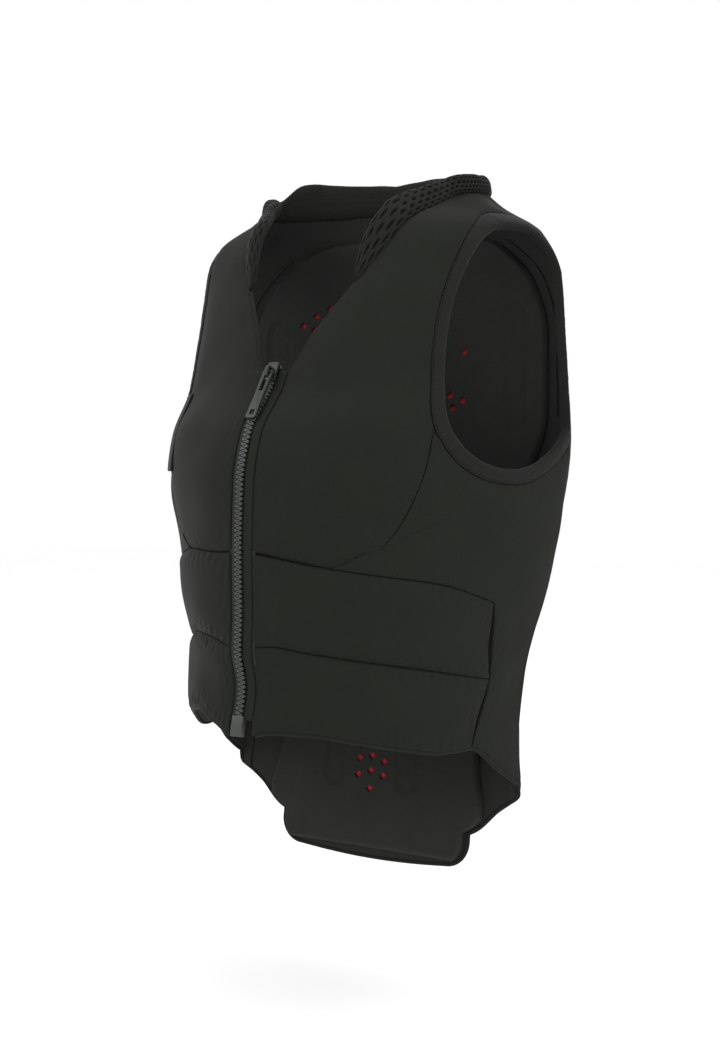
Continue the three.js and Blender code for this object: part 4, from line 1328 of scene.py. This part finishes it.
class VEST_OT_back_pad(bpy.types.Operator):
    """Make the back pad: its foam, the red layer and the pierced lining"""

    bl_idname = "vest.back_pad"
    bl_label = "Back pad"

    def execute(self, context):
        core = LINING_WALL + RED_WALL + 2 * LAYER_GAP
        rim_width, pad_width, pad_length = 5, 300, 550

        def front(u, v, turn, height):
            return lining_face(u, v) + pad_relief(turn, height)

        def fall(u, v):
            rim = np.minimum(np.minimum(u, 1 - u) * pad_width, np.minimum(v, 1 - v) * pad_length)
            return np.sqrt(1 - np.clip(1 - rim / rim_width, 0, 1) ** 2)

        lining_cloths, red_cloths = [materials["lining"]] * 2, [materials["red_layer"]] * 2
        foam = cloth_shell(
            "pad_foam", 40, 70, pad_where(2.5), lambda u, v, t, h: FOAM_TOP + 0 * u,
            lambda u, v, t, h: front(u, v, t, h) + core + 0.2, lining_cloths,
        )
        add_piece("pad_foam", foam, ["back_pad"])
        red = cloth_shell(
            "red_cloth", 60, 110, pad_where(3),
            lambda u, v, t, h: front(u, v, t, h) + LINING_WALL + LAYER_GAP + RED_WALL,
            lambda u, v, t, h: front(u, v, t, h) + LINING_WALL + LAYER_GAP,
            red_cloths,
        )
        piece = add_piece("red_cloth", red, ["red_layer"])
        declare_cloth(pad_where(3))
        for side, name in ((1, "left"), (-1, "right")):
            title = f"back_welt_{name}"
            lift = -SHELL_WALL - WELT_RADIUS
            welt = piping_mesh(title, welt_line, 0, lift, WELT_RADIUS, materials["lining"], side)
            add_piece(title, welt)

        def lining_upper(u, v, turn, height):
            return mix(-SHELL_WALL - 0.3, front(u, v, turn, height) + LINING_WALL, fall(u, v))

        def lining_lower(u, v, turn, height):
            return mix(-SHELL_WALL - 0.3 - LINING_WALL, front(u, v, turn, height), fall(u, v))

        lining = cloth_shell(
            "pad_lining_cloth", 150, 260, pad_where(), lining_upper, lining_lower, lining_cloths
        )
        half = context.scene.vest_sizes.diamond_side / math.sqrt(2)
        spots = [(x * HALF_CHEST * MM, -drop * BODY_HEIGHT * MM, half) for x, drop in DIAMONDS]
        lining = cut_away(lining, prisms(spots, -0.06, 0.08))
        piece = add_piece("pad_lining_cloth", lining, ["pad_lining"])
        return {"FINISHED"}


class VEST_OT_zip(bpy.types.Operator):
    """Make the zip: tapes, teeth, stops, box, slider and puller"""

    bl_idname = "vest.zip"
    bl_label = "Zip"

    def execute(self, context):
        line = ZipLine()
        reach = line.length - CHAIN_STOP
        # side | name | width of the tape | facing: its inner and outer edge, lift, wall and cloth
        rows = (
            (1, "left", TAPE_LEFT + 1.5, 4.4, TAPE_LEFT - 0.9, -0.75, 1.7, "softshell"),
            (-1, "right", TAPE_RIGHT + 1.5, 3.9, TAPE_RIGHT - 0.5, -1.45, 0.5, "zip_tape"),
        )
        for side, name, width, inner, outer, lift, wall, cloth in rows:
            title = f"zip_tape_cloth_{name}"
            strip = zip_strip(line, side, TAPE_GAP, width, TAPE_LIFT, TAPE_WALL, reach)
            mesh = capped(tube(title, 16, 200, strip, [materials["zip_tape"]]))
            piece = add_piece(title, mesh, [f"zip_tape_{name}"])
            title = f"zip_facing_{name}"
            fold = zip_strip(line, side, inner, outer, lift, wall, reach)
            add_piece(title, capped(tube(title, 24, 200, fold, [materials[cloth]])))
            mesh = chain_mesh(f"zip_chain_{name}", line, side, materials["zip_plastic"])
            add_piece(f"zip_chain_{name}", mesh, [f"zip_teeth_{name}"])
            refined(f"zip_top_stop_{name}", f"zip_stop_{name}", 0.4, "zip_plastic")
        refined("zip_end_box", "zip_box", 0.6, "zip_plastic")
        refined("zip_slider_body", "zip_slider", 0.35, "zip_metal")
        refined("zip_puller_tab", "zip_puller", 0.4, "zip_metal", "puller")
        return {"FINISHED"}


class VEST_OT_side_tab(bpy.types.Operator):
    """Make the flat tab on the wearer's right side"""

    bl_idname = "vest.side_tab"
    bl_label = "Side tab"

    def execute(self, context):
        sweep = TAB_WIDTH / (HALF_CHEST * DEGREE)

        def where(u, v):
            half = sweep / 2 * mix(0.6, 1, v)
            return 360 - TAB_TURN + half * (2 * u - 1), -TAB_DROP - TAB_LENGTH * v

        lift = 1.4
        mesh = cloth_shell(
            "side_tab_cloth", 16, 44, where,
            lambda u, v, t, h: lift + mix(1, TAB_WALL, v) - edge_roll(u, v, TAB_WIDTH, TAB_LENGTH, 1.0),
            lambda u, v, t, h: lift + 0 * u, [materials["binding"], materials["binding"]],
        )
        piece = add_piece("side_tab_cloth", mesh, ["side_tab"])
        declare_cloth(where)
        return {"FINISHED"}


class VEST_OT_stitches(bpy.types.Operator):
    """Make the rows of stitches along the seams"""

    bl_idname = "vest.stitches"
    bl_label = "Stitches"

    def execute(self, context):
        thread = materials["thread"]
        rows = []
        for side, tape in ((1, TAPE_LEFT), (-1, TAPE_RIGHT)):
            rows.append(seam_row(lambda way: armhole_at(360 * way, 0.4), 0.9, side, 500))
            start = float(turn_at(tape, -NECK_DEPTH))

            def below_neck(way, start=start):
                turn = mix(start + 1.2, COLLAR_TURN, way)
                return turn + 1.4, neck_height(turn) - 3.2

            rows.append(seam_row(below_neck, 0.6, side))
        mesh = stitch_mesh("seam_stitches", rows, thread)
        add_piece("seam_stitches", mesh)
        return {"FINISHED"}


class VEST_OT_stage(bpy.types.Operator):
    """Make the pale floor, the soft lights and the camera"""

    bl_idname = "vest.stage"
    bl_label = "Floor, lights and camera"

    def execute(self, context):
        scene = context.scene
        bm = bmesh.new()
        bmesh.ops.create_grid(bm, x_segments=1, y_segments=1, size=6)
        bmesh.ops.translate(bm, vec=(0, 0, FLOOR), verts=bm.verts)
        mesh = mesh_from(bm, "floor")
        floor = bpy.data.objects.new("floor", mesh)
        scene.collection.objects.link(floor)
        material, tree = new_material("Floor_matt_white")
        surface = add_node(
            tree, "ShaderNodeBsdfPrincipled", {"Base Color": (0.99, 0.99, 0.99, 1), "Roughness": 0.95}
        )
        add_node(tree, "ShaderNodeOutputMaterial", {"Surface": surface.outputs["BSDF"]})
        mesh.materials.append(material)

        world = bpy.data.worlds.new("Studio")
        world.use_nodes = True
        background = world.node_tree.nodes["Background"]
        background.inputs["Color"].default_value = (1, 1, 1, 1)
        background.inputs["Strength"].default_value = 1.0
        scene.world = world
        scene.view_settings.view_transform = "Standard"

        for name, spot, size, power in (
            ("key_light", (-1.3, -1.6, 1.0), 1.4, 11),
            ("side_light", (1.9, -0.4, 0.6), 1.2, 13),
            ("top_light", (0.2, 0.2, 1.8), 1.5, 6),
        ):
            data = bpy.data.lights.new(name, "AREA")
            data.size = size
            data.energy = power
            lamp = bpy.data.objects.new(name, data)
            lamp.location = spot
            lamp.rotation_euler = (Vector((0, 0, -0.28)) - Vector(spot)).to_track_quat("-Z", "Y").to_euler()
            scene.collection.objects.link(lamp)

        data = bpy.data.cameras.new("camera")
        data.sensor_width = SENSOR
        data.lens = LENS
        camera = bpy.data.objects.new("camera", data)
        turn, rise = CAMERA_TURN * DEGREE, CAMERA_RISE * DEGREE
        back = Vector((math.sin(turn) * math.cos(rise), -math.cos(turn) * math.cos(rise), math.sin(rise)))
        camera.location = Vector(CAMERA_AIM) + back * CAMERA_DISTANCE
        camera.rotation_euler = (-back).to_track_quat("-Z", "Y").to_euler()
        scene.collection.objects.link(camera)
        scene.camera = camera
        return {"FINISHED"}


class VEST_PT_sidebar(bpy.types.Panel):
    """Lists the vest's pieces, sizes and colours"""

    bl_idname = "VEST_PT_sidebar"
    bl_label = "Riding body protector"
    bl_space_type = "VIEW_3D"
    bl_region_type = "UI"
    bl_category = "Vest"

    def draw(self, context):
        layout = self.layout
        for group in (context.scene.vest_sizes, context.scene.vest_colours):
            for name in group.__annotations__:
                layout.prop(group, name)
        for maker in MAKERS:
            layout.operator(maker.bl_idname)


MAKERS = (
    VEST_OT_stage, VEST_OT_chest_panels, VEST_OT_bands, VEST_OT_side_panels, VEST_OT_back_panel,
    VEST_OT_bindings, VEST_OT_pipings, VEST_OT_collar, VEST_OT_back_pad, VEST_OT_zip, VEST_OT_side_tab,
    VEST_OT_stitches,
)
CLASSES = (VestSizes, VestColours, *MAKERS, VEST_PT_sidebar)
materials = {}


def register():
    for item in CLASSES:
        bpy.utils.register_class(item)
    bpy.types.Scene.vest_sizes = PointerProperty(type=VestSizes)
    bpy.types.Scene.vest_colours = PointerProperty(type=VestColours)


def unregister():
    del bpy.types.Scene.vest_colours
    del bpy.types.Scene.vest_sizes
    for item in reversed(CLASSES):
        bpy.utils.unregister_class(item)


def main():
    register()
    materials.update(make_materials())
    for maker in MAKERS:
        group, name = maker.bl_idname.split(".")
        getattr(getattr(bpy.ops, group), name)()


if __name__ == "__main__":
    main()
